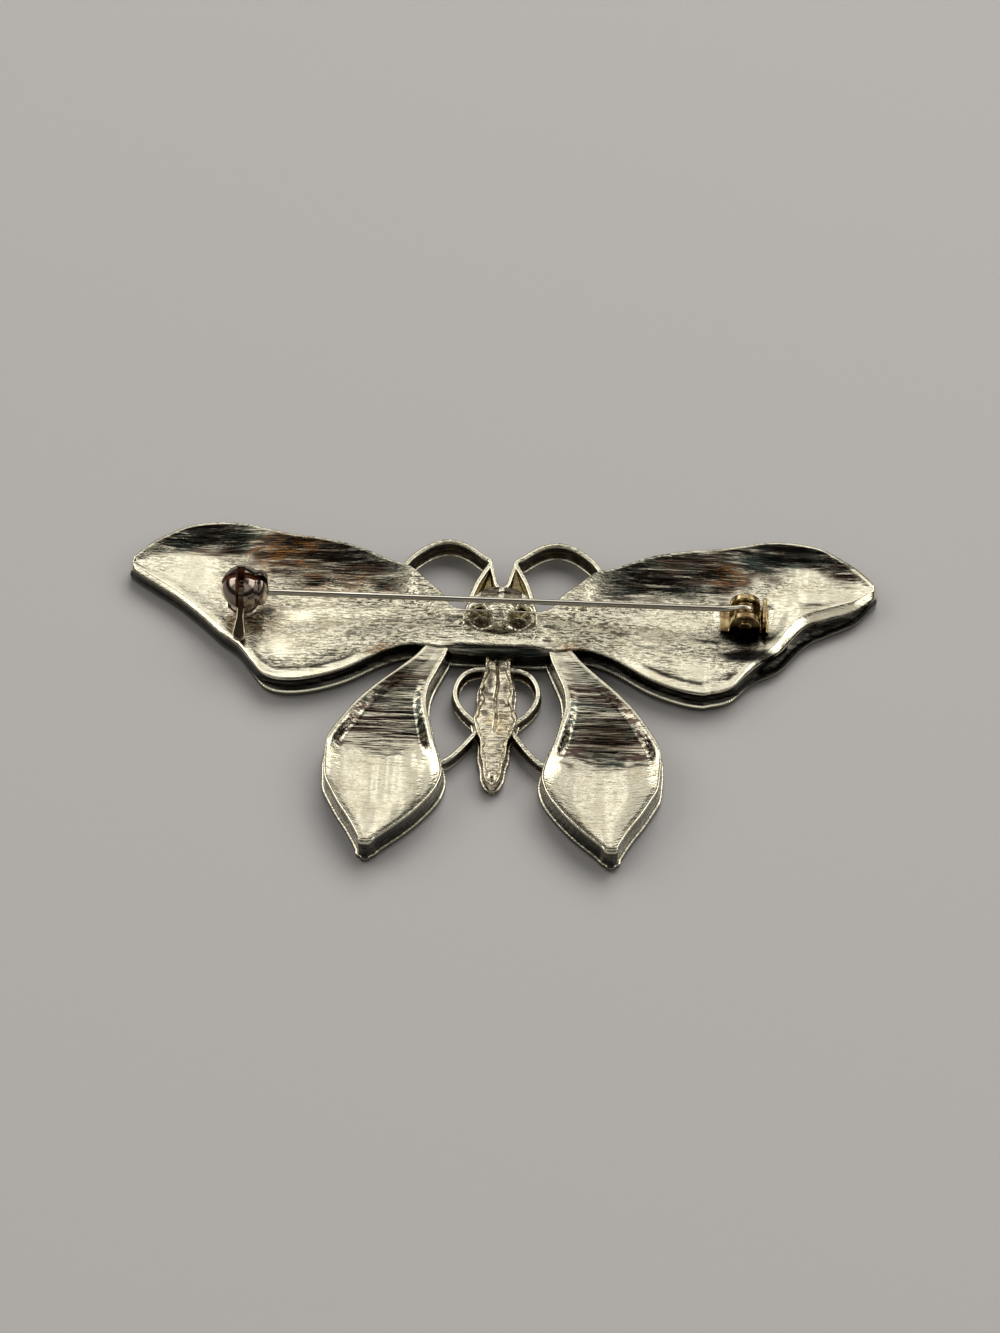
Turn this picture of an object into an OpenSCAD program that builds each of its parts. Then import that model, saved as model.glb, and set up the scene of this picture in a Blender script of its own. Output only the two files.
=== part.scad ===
// Butterfly brooch, lying face down on its domed front, back side up.
// X runs across the wings, with the catch at -X and the hinge at +X.
// Y runs up to the head, and Z runs up out of the back.
// The origin is under the middle of the brooch, on the surface it lies on.

/* [Outline] */
// Width over both front wings, rim to rim
brooch_w = 88; // [86:0.5:92]
// Height from the tips of the hind wings to the top of the front wings
brooch_h = 44.5; // [43.5:0.25:46]

/* [Casting] */
// Thickness of the casting at the bridge between the wings
casting_t = 3.7; // [3.5:0.1:4]
// Height of the flat seats that the catch and the hinge stand on
pad_z = 2.8; // [2.7:0.05:3]
// Width of the raised rim round each wing's back
rim_w = 0.9; // [0.6:0.1:1.2]
// Depth of the hollow in a wing's back
dish_depth = 0.9; // [0.5:0.1:1]
// Depth that the front panels swell below their rims
dome_depth = 0.8; // [0.6:0.1:0.9]
// Width of the front rim's face
lip_w = 0.75; // [0.6:0.05:1]
// Height of the front rim's outer face
lip_h = 0.75; // [0.5:0.05:0.9]
// How far the front rim stands out past the back edge
flare = 0.35; // [0.2:0.05:0.5]

/* [Feelers and scrolls] */
// Thickness of the strip that forms each antenna
antenna_t = 0.65; // [0.5:0.05:0.8]
// Height of the antenna strip
antenna_h = 2.8; // [2.2:0.1:3]
// Height of the plate between the feet of the antennae
foot_h = 1.9; // [1.4:0.1:2.2]
// Thickness of the strip that forms each scroll beside the abdomen
scroll_t = 0.75; // [0.6:0.05:0.9]
// Height of the scroll strip
scroll_h = 1.9; // [1.5:0.1:2.2]
// Gap between the lying surface and the strips
strip_z = 0.35; // [0.2:0.05:0.6]

/* [Head] */
// Radius of the swirl hollow behind each eye
swirl_r = 1.45; // [1:0.05:1.6]
// Radius of each eye on the front of the head
eye_r = 1.15; // [0.8:0.05:1.4]

/* [Pin] */
// Diameter of the pin wire
pin_d = 0.7; // [0.6:0.05:0.8]
// Length of the pin's tapered point
point_l = 5; // [4.6:0.1:5.4]
// Diameter of the point's end
point_d = 0.12; // [0.1:0.02:0.2]
// Height of the pin wire's axis above the seats
pin_rise = 2.6; // [2.5:0.05:2.8]
// How far the pin's line lies above the middle of the brooch, towards the head
pin_y = 10.4; // [9.8:0.2:10.8]
// Distance from the wing's tip in to the catch's middle
catch_in = 14; // [13:0.2:15]
// Distance from the wing's tip in to the hinge's rivet
hinge_in = 15.7; // [14.7:0.2:16.7]
// Width of the wire's flattened root beside the knuckle
root_w = 1.4; // [1.2:0.1:1.6]
// Thickness of the root
root_t = 0.9; // [0.8:0.05:1]
// Length of the root, from the rivet's axis
root_l = 2.8; // [2.6:0.1:3.2]

/* [Catch] */
// Radius of the catch's ball
ball_r = 2.5; // [2.4:0.05:2.7]
// Height of the ball's middle above the pin's axis
ball_lift = 0.8; // [0.6:0.05:0.9]
// Radius of the collar on the side where the pin enters
collar_r = 2.65; // [2.6:0.05:2.8]
// Thickness of the collar
collar_t = 0.7; // [0.5:0.05:0.8]
// Radius of the lock disc that turns inside the ball
disc_r = 1.4; // [1.3:0.05:1.5]
// Thickness of the lock disc
disc_t = 0.85; // [0.7:0.05:1]
// Running clearance round the lock disc
disc_gap = 0.05; // [0.04:0.01:0.07]
// Clearance on each side of the pin in the catch's channel
channel_gap = 0.07; // [0.05:0.01:0.1]
// Length of the thumb lever from the pin's axis to its round end
lever_l = 6.1; // [5.6:0.1:6.4]
// Width of the thumb lever across its round end
lever_end_w = 1.5; // [1.3:0.1:1.8]
// Thickness of the thumb lever
lever_t = 0.75; // [0.6:0.05:0.8]
// Angle of the open lever below the pin's level
lever_drop = 14; // [10:1:16]
// Diameter of the catch's foot
foot_d = 2.8; // [2.4:0.1:3]

/* [Hinge] */
// Thickness of each hinge ear
ear_t = 0.75; // [0.6:0.05:0.9]
// Radius of the rounded top of each ear
ear_r = 1.75; // [1.6:0.05:1.8]
// Height of the rivet's axis above the seat
rivet_rise = 1.8; // [1.7:0.05:1.9]
// Width of the pin's knuckle between the ears
knuckle_w = 1.7; // [1.4:0.1:2]
// Radius of the pin's knuckle
knuckle_r = 1.3; // [1.25:0.05:1.35]
// Side clearance on each face of the knuckle
knuckle_gap = 0.08; // [0.05:0.01:0.12]
// Radius of the rivet
rivet_r = 0.45; // [0.4:0.05:0.5]
// Running clearance round the rivet in the knuckle
rivet_gap = 0.04; // [0.02:0.01:0.06]
// Radius of each domed rivet head
rivet_head_r = 0.75; // [0.65:0.05:0.9]
// Height of each rivet head
rivet_head_h = 0.25; // [0.2:0.05:0.35]
// Length of the hinge's foot along the pin
hinge_foot_l = 5.6; // [5.2:0.1:6]
// Thickness of the hinge's foot
plate_t = 0.4; // [0.3:0.05:0.45]
// Thickness of the hinge's back plate
back_t = 0.5; // [0.4:0.05:0.6]
// Gap between the ears and the back plate
back_gap = 0.25; // [0.2:0.05:0.35]
// Height of the back plate above the seat
back_h = 2.7; // [2.4:0.1:3]

/* [Hidden] */

half_w = brooch_w / 2;
mid_y = brooch_h / 2;
catch_x = half_w - catch_in;
hinge_x = half_w - hinge_in;
pin_z = pad_z + pin_rise;
rivet_z = pad_z + rivet_rise;
lip_face = 0.4 * dome_depth;
lip_top = lip_face + lip_h;
hinge_w = knuckle_w + 2 * knuckle_gap + 2 * ear_t;

// Curve steps from one table row to the next
row_steps = 2;
// Radius of the soft edge along the rims
edge_r = 0.25;
// How deep the catch's foot runs into its ball
foot_sink = 0.4;
// How far the pin's point stays inside the ball
point_in = 0.3;

// Wing and body tables are shares: across the wings of half the width, up the
// brooch of its whole height from the hind tips, and in thickness of casting_t.

// Front wings. Columns: place across, lower edge, upper edge, thickness
WING_ROWS = [
    [0.116, 0.600, 0.735, 1.00],
    [0.160, 0.610, 0.785, 1.00],
    [0.205, 0.616, 0.827, 0.98],
    [0.245, 0.614, 0.864, 0.97],
    [0.302, 0.592, 0.884, 0.96],
    [0.398, 0.535, 0.926, 0.95],
    [0.491, 0.502, 0.947, 0.94],
    [0.564, 0.495, 0.956, 0.93],
    [0.611, 0.511, 0.967, 0.91],
    [0.648, 0.555, 0.976, 0.88],
    [0.689, 0.607, 0.987, 0.85],
    [0.739, 0.645, 0.993, 0.83],
    [0.795, 0.697, 0.990, 0.81],
    [0.852, 0.745, 0.978, 0.79],
    [0.902, 0.780, 0.952, 0.77],
    [0.943, 0.806, 0.920, 0.76],
    [0.973, 0.827, 0.886, 0.75],
    [0.990, 0.842, 0.867, 0.72],
    [0.999, 0.850, 0.857, 0.36]
];

// Hind wings. Columns: place up the brooch, inner edge, outer edge, thickness
HIND_ROWS = [
    [0.001, 0.305, 0.317, 0.34],
    [0.014, 0.301, 0.321, 1.00],
    [0.029, 0.282, 0.330, 1.06],
    [0.052, 0.254, 0.342, 1.07],
    [0.085, 0.216, 0.361, 1.07],
    [0.123, 0.180, 0.386, 1.06],
    [0.168, 0.146, 0.411, 1.05],
    [0.202, 0.131, 0.427, 1.04],
    [0.236, 0.126, 0.431, 1.03],
    [0.281, 0.136, 0.433, 1.02],
    [0.330, 0.155, 0.427, 1.01],
    [0.386, 0.168, 0.396, 1.00],
    [0.438, 0.179, 0.361, 1.00],
    [0.490, 0.174, 0.314, 0.99],
    [0.539, 0.155, 0.262, 0.98],
    [0.580, 0.138, 0.220, 0.97],
    [0.622, 0.128, 0.190, 0.97]
];

// Abdomen. Columns: place up the brooch, half width, thickness
ABDOMEN_ROWS = [
    [0.213, 0.006, 0.34],
    [0.222, 0.013, 0.60],
    [0.244, 0.023, 0.63],
    [0.278, 0.027, 0.65],
    [0.304, 0.034, 0.66],
    [0.347, 0.037, 0.67],
    [0.374, 0.048, 0.68],
    [0.412, 0.057, 0.68],
    [0.436, 0.050, 0.68],
    [0.466, 0.043, 0.68],
    [0.507, 0.045, 0.68],
    [0.561, 0.034, 0.68],
    [0.640, 0.036, 0.68]
];

// Thorax and head. Columns: place up the brooch, half width, thickness
HEAD_ROWS = [
    [0.592, 0.070, 0.98],
    [0.618, 0.110, 1.00],
    [0.663, 0.118, 1.02],
    [0.708, 0.110, 1.02],
    [0.741, 0.096, 1.01],
    [0.771, 0.080, 1.00],
    [0.793, 0.054, 0.98],
    [0.806, 0.024, 0.94],
    [0.811, 0.008, 0.40]
];

// Strip paths. Columns: place across, place up the brooch
ANTENNA_PATH = [
    [0.266, 0.862],
    [0.246, 0.896],
    [0.218, 0.923],
    [0.189, 0.943],
    [0.155, 0.954],
    [0.121, 0.951],
    [0.089, 0.936],
    [0.057, 0.911],
    [0.034, 0.892],
    [0.050, 0.857],
    [0.067, 0.821],
    [0.082, 0.775]
];
BROW_PATH = [
    [0.034, 0.892],
    [0.022, 0.846],
    [0.015, 0.820],
    [0.000, 0.806]
];
// Right half of the plate that fills the feet of the antennae, between their strips
FEET_EDGE = [
    [0.000, 0.804],
    [0.014, 0.822],
    [0.033, 0.887],
    [0.065, 0.820],
    [0.080, 0.765]
];
SCROLL_PATH = [
    [0.030, 0.567],
    [0.061, 0.564],
    [0.088, 0.548],
    [0.105, 0.518],
    [0.108, 0.488],
    [0.099, 0.459],
    [0.080, 0.431],
    [0.050, 0.402]
];
STRUT_PATH = [
    [0.036, 0.392],
    [0.066, 0.349],
    [0.093, 0.314],
    [0.118, 0.289],
    [0.140, 0.277]
];
// Middle of each swirl hollow and eye: place across, place up the brooch
EYE_AT = [0.053, 0.722];

module at_pin(x) translate([x, pin_y, pin_z]) children();

module both_sides() {
    children();
    mirror([1, 0, 0]) children();
}

// Smooth curve through the rows of a table, with row_steps steps to a row
function blend4(a, b, c, d, t) =
    0.5 * (2 * b + (c - a) * t + (2 * a - 5 * b + 4 * c - d) * t * t
           + (3 * b - a - 3 * c + d) * t * t * t);
function smooth_rows(rows) =
    let (last = len(rows) - 1)
    concat(
        [for (i = [0:last - 1], k = [0:row_steps - 1])
            blend4(rows[max(i - 1, 0)], rows[i], rows[i + 1], rows[min(i + 2, last)],
                   k / row_steps)],
        [rows[last]]
    );

// Half of a section, from the front's middle round one edge to the back's middle.
// Each point is [distance in from the back edge, height], for a section w wide, t thick.
// Narrow sections keep their rims, lip and hollow to a share of their width.
function half_section(w, t) =
    let (rim = min(rim_w, 0.2 * w),
         lip = min(lip_w, 0.22 * w),
         out = min(flare, 0.3 * w),
         dome = min(dome_depth, 0.12 * w),
         dish = min(dish_depth, 0.1 * w, 0.3 * t),
         edge = min(edge_r, 0.08 * w))
    [
        [0.50 * w, dome_depth - dome],
        [0.32 * w, dome_depth - 0.85 * dome],
        [lip - out + 0.04 * w, dome_depth - 0.3 * dome],
        [lip - out, dome_depth],
        [0.8 * lip - out, lip_face],
        [0.25 * lip - out, lip_face],
        [-out, lip_face + 0.2 * lip_h],
        [-out, lip_top],
        [0, lip_top + 0.3 * (t - lip_top)],
        [0, t - edge],
        [edge, t],
        [rim, t],
        [rim + 0.12 * w, t - 0.65 * dish],
        [0.50 * w, t - dish]
    ];

// Whole section between lo and hi, as [place across the section, height]
function section(lo, hi, t) =
    let (h = half_section(hi - lo, t), n = len(h))
    concat(
        [for (p = h) [lo + p[0], p[1]]],
        [for (i = [n - 2:-1:1]) [hi - h[i][0], h[i][1]]]
    );

// Solid lofted through closed rings of equal length
module loft(rings) {
    n = len(rings[0]);
    last = len(rings) - 1;
    sides = [for (i = [0:last - 1], j = [0:n - 1])
        let (a = i * n + j, b = i * n + (j + 1) % n)
        each [[a, b, b + n], [a, b + n, a + n]]];
    polyhedron(
        points = [for (ring = rings) each ring],
        faces = concat(sides, [[for (j = [n - 1:-1:0]) j]], [[for (j = [0:n - 1]) last * n + j]]),
        convexity = 10
    );
}

// Loft whose sections stand across X, from rows of [place, low edge, high edge, thickness]
module loft_along_x(rows) {
    loft([for (r = rows)
        [for (p = section(r[1] * brooch_h, r[2] * brooch_h, r[3] * casting_t))
            [r[0] * half_w, p[0] - mid_y, p[1]]]]);
}

// Loft whose sections stand across Y, from rows in the same columns
module loft_along_y(rows) {
    loft([for (i = [len(rows) - 1:-1:0])
        [for (p = section(rows[i][1] * half_w, rows[i][2] * half_w, rows[i][3] * casting_t))
            [p[0], rows[i][0] * brooch_h - mid_y, p[1]]]]);
}

// Upright strip that follows a path
module strip(path, thick, height) {
    for (i = [0:len(path) - 2])
        hull()
            for (p = [path[i], path[i + 1]])
                translate([p[0] * half_w, p[1] * brooch_h - mid_y, strip_z])
                    cylinder(h = height, d = thick, $fn = 6);
}

module antenna_feet() {
    edge = [for (p = FEET_EDGE) [p[0] * half_w, p[1] * brooch_h - mid_y]];
    translate([0, 0, strip_z])
        linear_extrude(height = foot_h)
            polygon(concat(edge, [for (i = [len(edge) - 1:-1:1]) [-edge[i][0], edge[i][1]]]));
}

module front_wings() {
    rows = smooth_rows(WING_ROWS);
    left = [for (i = [len(rows) - 1:-1:0]) [-rows[i][0], rows[i][1], rows[i][2], rows[i][3]]];
    loft_along_x(concat(left, rows));
}

module hind_wing() loft_along_y(smooth_rows(HIND_ROWS));

module centre_piece(rows)
    loft_along_y([for (r = smooth_rows(rows)) [r[0], -r[1], r[1], r[2]]]);

module seat(x, length, width)
    translate([x - length / 2, pin_y - width / 2, lip_top])
        cube([length, width, pad_z - lip_top]);

// One casting: wings, head, abdomen, antennae and scrolls
module casting() color([0.86, 0.80, 0.62]) {
    difference() {
        union() {
            front_wings();
            both_sides() hind_wing();
            centre_piece(HEAD_ROWS);
            centre_piece(ABDOMEN_ROWS);
            antenna_feet();
            both_sides() {
                strip(ANTENNA_PATH, antenna_t, antenna_h);
                strip(BROW_PATH, antenna_t, antenna_h);
                strip(SCROLL_PATH, scroll_t, scroll_h);
                strip(STRUT_PATH, scroll_t, scroll_h);
                translate([EYE_AT[0] * half_w, EYE_AT[1] * brooch_h - mid_y, eye_r])
                    sphere(r = eye_r, $fn = 14);
            }
            seat(-catch_x, foot_d, foot_d);
            seat(hinge_x, hinge_foot_l, hinge_w);
        }
        both_sides()
            translate([EYE_AT[0] * half_w, EYE_AT[1] * brooch_h - mid_y, casting_t + 0.4 * swirl_r])
                sphere(r = swirl_r, $fn = 16);
    }
}

// Angles round the pin's axis are measured from +Y, rising towards +Z
channel_w = pin_d + 2 * channel_gap;
pocket_r = disc_r + disc_gap;
slot_w = disc_t + 2 * disc_gap;
far = 2 * ball_r;

// Half angle that the lever's root takes up at the pocket's wall, with room to spare
lever_half = asin(lever_t / 2 / disc_r) + 4;
// Steepest direction that the slot leaves open on the head's side
slot_back = 50;

// Ball and collar in one turned piece about Z
module turned_ball()
    rotate_extrude($fn = 64)
        difference() {
            union() {
                circle(r = ball_r, $fn = 64);
                translate([0, ball_r - collar_t]) square([collar_r, collar_t]);
            }
            translate([-far, -far]) square([far, 2 * far]);
        }

// Slice across X, open upwards between two directions round the pin's axis
module lever_slot()
    rotate([90, 0, 90])
        translate([0, 0, -slot_w / 2])
            linear_extrude(height = slot_w)
                polygon([
                    [0, 0],
                    [far / tan(slot_back), far],
                    [-far, far],
                    [-far, -far * tan(lever_drop + lever_half)]
                ]);

// Ball with a channel for the pin, open at the top, and a pocket for the lock disc
module catch_housing() color([0.72, 0.66, 0.55])
    difference() {
        union() {
            at_pin(-catch_x) translate([0, 0, ball_lift]) rotate([0, 90, 0]) turned_ball();
            translate([-catch_x, pin_y, pad_z])
                cylinder(h = pin_rise - pocket_r + foot_sink, d = foot_d, $fn = 48);
        }
        at_pin(-catch_x) {
            rotate([0, 90, 0]) translate([0, 0, -far]) cylinder(h = 2 * far, d = channel_w, $fn = 32);
            translate([-far, -channel_w / 2, 0]) cube([2 * far, channel_w, far]);
            rotate([0, 90, 0]) translate([0, 0, -slot_w / 2]) cylinder(h = slot_w, r = pocket_r, $fn = 64);
            lever_slot();
        }
    }

// Lock disc with its thumb lever: open here, with its slot under the ball's channel
module catch_lock() color([0.66, 0.60, 0.50])
    at_pin(-catch_x)
        difference() {
            union() {
                rotate([0, 90, 0]) translate([0, 0, -disc_t / 2]) cylinder(h = disc_t, r = disc_r, $fn = 64);
                rotate([-lever_drop, 0, 180]) lever();
            }
            rotate([0, 90, 0]) translate([0, 0, -disc_t]) cylinder(h = 2 * disc_t, d = channel_w, $fn = 32);
            translate([-disc_t, -channel_w / 2, 0]) cube([2 * disc_t, channel_w, 2 * disc_r]);
        }

// Flat lever along +Y that widens past the ball and ends round
module lever() {
    reach = lever_l - lever_end_w / 2;
    neck = ball_r + ball_lift + disc_gap;
    translate([0, 0, -lever_t / 2])
        linear_extrude(height = lever_t) {
            translate([-disc_t / 2, disc_r / 2]) square([disc_t, neck - disc_r / 2]);
            polygon([
                [-disc_t / 2, neck],
                [disc_t / 2, neck],
                [lever_end_w / 2, reach],
                [-lever_end_w / 2, reach]
            ]);
            translate([0, reach]) circle(d = lever_end_w, $fn = 32);
        }
}

module at_rivet() translate([hinge_x, pin_y, rivet_z]) rotate([90, 0, 0]) children();

// Two ears on a foot, with a back plate that stops the opened pin
module hinge_bracket() color([0.80, 0.70, 0.50]) {
    back_x = hinge_x + ear_r + back_gap;
    difference() {
        union() {
            translate([hinge_x - hinge_foot_l / 2, pin_y - hinge_w / 2, pad_z])
                cube([hinge_foot_l, hinge_w, plate_t]);
            for (side = [-1, 1])
                translate([0, side * (hinge_w - ear_t) / 2, 0]) ear();
            translate([back_x, pin_y - hinge_w / 2, pad_z]) cube([back_t, hinge_w, back_h]);
        }
        at_rivet() translate([0, 0, -hinge_w]) cylinder(h = 2 * hinge_w, r = rivet_r, $fn = 48);
    }
}

module ear() {
    at_rivet() translate([0, 0, -ear_t / 2]) cylinder(h = ear_t, r = ear_r, $fn = 48);
    translate([hinge_x - ear_r, pin_y - ear_t / 2, pad_z]) cube([2 * ear_r, ear_t, rivet_rise]);
}

// Rivet through both ears and the knuckle, with a flat head on each side
module hinge_rivet() color([0.84, 0.76, 0.58])
    at_rivet() {
        translate([0, 0, -hinge_w / 2]) cylinder(h = hinge_w, r = rivet_r, $fn = 48);
        for (side = [0, 1])
            mirror([0, 0, side])
                translate([0, 0, hinge_w / 2]) cylinder(h = rivet_head_h, r = rivet_head_r, $fn = 48);
    }

// Straight pin with its knuckle, lying closed in the open catch
module pin_stem() color([0.88, 0.84, 0.70]) {
    tip_x = -catch_x - ball_r + point_in;
    shank_x = tip_x + point_l;
    difference() {
        union() {
            at_rivet() translate([0, 0, -knuckle_w / 2]) cylinder(h = knuckle_w, r = knuckle_r, $fn = 48);
            at_pin(shank_x) rotate([0, 90, 0]) cylinder(h = hinge_x - shank_x, d = pin_d, $fn = 32);
            at_pin(tip_x) rotate([0, 90, 0]) cylinder(h = point_l, d1 = point_d, d2 = pin_d, $fn = 32);
            at_pin(hinge_x - root_l) translate([0, -root_w / 2, -root_t / 2]) cube([root_l, root_w, root_t]);
        }
        at_rivet() translate([0, 0, -knuckle_w])
            cylinder(h = 2 * knuckle_w, r = rivet_r + rivet_gap, $fn = 48);
    }
}

casting();
catch_housing();
catch_lock();
hinge_bracket();
hinge_rivet();
pin_stem();
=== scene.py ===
# %% [markdown]
# # A butterfly brooch, seen from behind
# The brooch lies face down, so this lesson is mostly about bright cast metal: thin raised rims, hollow backs with
# file marks, and the small ball catch and hinge of its pin. The CAD frame gives every size. Blender adds the finish.

import math

import bmesh
import bpy
import numpy as np
from mathutils import Matrix, Vector


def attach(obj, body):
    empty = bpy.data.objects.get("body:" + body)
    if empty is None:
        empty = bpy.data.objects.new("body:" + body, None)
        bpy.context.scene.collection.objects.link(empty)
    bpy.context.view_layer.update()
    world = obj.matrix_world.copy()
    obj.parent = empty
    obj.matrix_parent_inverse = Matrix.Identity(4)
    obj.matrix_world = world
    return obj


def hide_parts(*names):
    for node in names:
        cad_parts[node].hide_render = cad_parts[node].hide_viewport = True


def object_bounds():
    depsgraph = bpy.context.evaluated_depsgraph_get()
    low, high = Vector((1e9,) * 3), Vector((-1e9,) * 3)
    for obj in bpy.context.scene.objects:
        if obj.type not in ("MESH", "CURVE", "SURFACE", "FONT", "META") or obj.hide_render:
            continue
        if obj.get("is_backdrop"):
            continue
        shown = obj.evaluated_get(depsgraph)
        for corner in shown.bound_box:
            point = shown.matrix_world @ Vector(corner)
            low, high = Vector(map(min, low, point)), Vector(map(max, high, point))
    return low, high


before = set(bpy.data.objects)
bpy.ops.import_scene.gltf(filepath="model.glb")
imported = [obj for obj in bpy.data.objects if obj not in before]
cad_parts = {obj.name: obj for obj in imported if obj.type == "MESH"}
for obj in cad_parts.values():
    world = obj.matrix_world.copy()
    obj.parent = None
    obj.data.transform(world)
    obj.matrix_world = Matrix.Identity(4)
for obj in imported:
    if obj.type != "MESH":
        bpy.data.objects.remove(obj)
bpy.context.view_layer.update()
MM = 0.001
print("frame nodes:", sorted(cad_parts))

# %% [markdown]
# ## Smooth lines from a few rows
# A wing's outline is a handful of measured places. A curve through the rows fills in the rest, as a jeweller's
# French curve does. Straight lines between the rows would show as flats on a polished rim.


# %% Curves through rows
def smooth_rows(rows, steps=24):
    """A smooth curve through rows of numbers, with this many steps from each row to the next."""
    a = np.array(rows, float)
    p = np.vstack([a[:1], a, a[-1:]])
    t = np.linspace(0, 1, steps, endpoint=False)[:, None]
    parts = []
    for p0, p1, p2, p3 in zip(p[:-3], p[1:-2], p[2:-1], p[3:]):
        bend = 2 * p1 + (p2 - p0) * t + (2 * p0 - 5 * p1 + 4 * p2 - p3) * t**2
        parts.append(0.5 * (bend + (3 * p1 - p0 - 3 * p2 + p3) * t**3))
    return np.vstack(parts + [a[-1:]])


def rows_at(rows, where):
    """The other columns of the smooth curve, at these values of its first column."""
    fine = smooth_rows(rows)
    order = np.argsort(fine[:, 0])
    return [np.interp(where, fine[order, 0], fine[order, k]) for k in range(1, fine.shape[1])]


def ease(low, high, value):
    """0 up to low, 1 from high, and a soft slope between them."""
    t = np.clip((value - low) / (high - low), 0, 1)
    return t * t * (3 - 2 * t)


def mix(a, b, share):
    return a + (b - a) * share


print("a row curve has", len(smooth_rows([[0, 0], [1, 1], [2, 0]])), "points for 3 rows")

# %% [markdown]
# ## Waves, spots and lines
# Hand work is never even. A few small helpers give all the unevenness here: waves that look random but come out the
# same on each run, soft lines, and soft round spots. They shape the metal and also say where it is worn or dirty.


# %% Waves, spots and lines
def ripple(x, y, wave_x, wave_y, seed):
    """Smooth random waves between -1 and 1, with these wavelengths in millimetres."""
    cells, start = 128, 40
    grid = np.random.default_rng(seed).uniform(-1, 1, (cells, cells))
    u, v = np.asarray(x) / wave_x * 2 + start, np.asarray(y) / wave_y * 2 + start
    iu, iv = np.floor(u).astype(int), np.floor(v).astype(int)
    fu, fv = ease(0, 1, u - iu), ease(0, 1, v - iv)

    def row(up):
        return grid[iu % cells, (iv + up) % cells] * (1 - fu) + grid[(iu + 1) % cells, (iv + up) % cells] * fu

    return row(0) * (1 - fv) + row(1) * fv


def falloff(distance, width, power=2):
    """1 where the distance is 0, and 0 well beyond the width. A higher power has a flatter top."""
    return np.exp(-((distance / width) ** power))


def spot(x, y, cx, cy, rx, ry):
    """A soft round spot: 1 at its middle, 0 well outside."""
    return falloff(np.hypot((x - cx) / rx, (y - cy) / ry), 1, 3)


def spots(x, y, rows, start=0):
    """Spots added together. Each row is (strength, middle x, middle y, half width, half height)."""
    return sum((strength * spot(x, y, *place) for strength, *place in rows), start)


print("a spot is", round(float(spot(0.5, 0, 0, 0, 1, 1)), 2), "strong half-way out")

# %% [markdown]
# ## One skin for every cast part
# Each cast part is a row of closed rings, like the slices of a loaf. The mesh starts as one flat grid from an
# operator. Its points are moved onto the rings, the two long sides are welded, and both ends are filled. A grid gives
# an even, dense surface, which a mirror finish needs: a few large faces would show every edge in the reflection.


# %% Skin a form through rings
SEAM_WELD, WELD = 1e-7, 1e-6  # metres within which two points become one


def closed(a):
    """Each ring with its first point again at its end."""
    return np.concatenate([a, a[:, :1]], axis=1)


def skin(name, rings, marks=None, crease=50):
    """rings is (rings, points, xyz) in millimetres. marks is {attribute: (rings, points)} for the finishes."""
    count, around = rings.shape[:2]
    places = closed(rings).reshape(-1, 3) * MM
    bm = bmesh.new()
    bmesh.ops.create_grid(bm, x_segments=around, y_segments=count - 1, size=1)
    bm.verts.ensure_lookup_table()
    layers = [(bm.verts.layers.float.new(k), closed(v).reshape(-1)) for k, v in (marks or {}).items()]
    for i, vert in enumerate(bm.verts):
        vert.co = places[i]
        for layer, values in layers:
            vert[layer] = float(values[i])
    seam = [v for i, v in enumerate(bm.verts) if i % (around + 1) in (0, around)]
    bmesh.ops.remove_doubles(bm, verts=seam, dist=SEAM_WELD)
    open_edges = [e for e in bm.edges if e.is_boundary]
    bmesh.ops.holes_fill(bm, edges=open_edges, sides=0)
    bmesh.ops.recalc_face_normals(bm, faces=bm.faces)
    return finish_mesh(name, bm, crease)


def finish_mesh(name, bm, crease=40):
    """Make a bmesh a named piece, shaded smooth, with edges sharp past this many degrees."""
    mesh = bpy.data.meshes.new(name)
    bm.to_mesh(mesh)
    bm.free()
    mesh.shade_smooth()
    mesh.set_sharp_from_angle(angle=math.radians(crease))
    piece = bpy.data.objects.new(name, mesh)
    bpy.context.scene.collection.objects.link(piece)
    places = np.array([v.co for v in mesh.vertices]) / MM
    low, high = places.min(0).round(2), places.max(0).round(2)
    print(f"{name}: {len(mesh.polygons)} faces, from {low} to {high} mm")
    return piece


# %% [markdown]
# ## The wing section
# A wing of this brooch is a shallow dish. From the lying side up, its section has a swollen front panel, a front lip
# that stands out a little, a side wall, a raised rim, and the hollow back. The same section serves the four wings,
# the thorax and the abdomen, so it is one helper. Distances run square to the edge, so the rim keeps its width where
# the outline runs at a slant.

# %% Sizes shared by the cast parts, in millimetres
HALF_W = 44.0  # from the middle to a wing tip
HEIGHT = 44.5  # from the hind tips to the top of the front wings
THICK = 3.7  # from the front up to the rim, at the bridge
DOME = 0.8  # height of the front panel's edge, from which the panel swells down
LIP_W, LIP_FACE, LIP_TOP = 0.75, 0.32, 1.07  # the lip's width, and its lower and upper heights
FLARE = 0.35  # how far the lip stands out past the outline
SEAT_Z = 2.8  # height of the flat seats below the catch and the hinge
BACK_Z = 1.6  # above this height a point is on the wall, the rim or the back


def y_of(share):
    """Millimetres from the middle of the brooch, for a share of its height."""
    return share * HEIGHT - HEIGHT / 2


def lean(edge, along):
    """How much longer a distance square to an edge is when it is laid across the section."""
    return np.clip(np.sqrt(1 + np.gradient(edge, along) ** 2), 1, 3.2)


print("rim to lip:", round(THICK - LIP_TOP, 2), "mm of wall at the bridge")

# %% [markdown]
# ## The side of the section
# The lower edge changes along a front wing. In its inner half the wall is cut back above the lip, and further out it
# swells over the lip and hides it. Each is a short list of points, and a share between 0 and 1 blends one into the
# other, so the edge changes its form with no seam.

# %% Draw the side from lip to rim
# Points of the rim: the angle of its arc, and where the wall swells the shares of the way in and down instead
RIM_ARC = ((0, 0, 1), (18, 0.07, 0.8), (36, 0.24, 0.58), (54, 0.5, 0.33), (70, 0.8, 0.1), (90, 1, 0))


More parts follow.
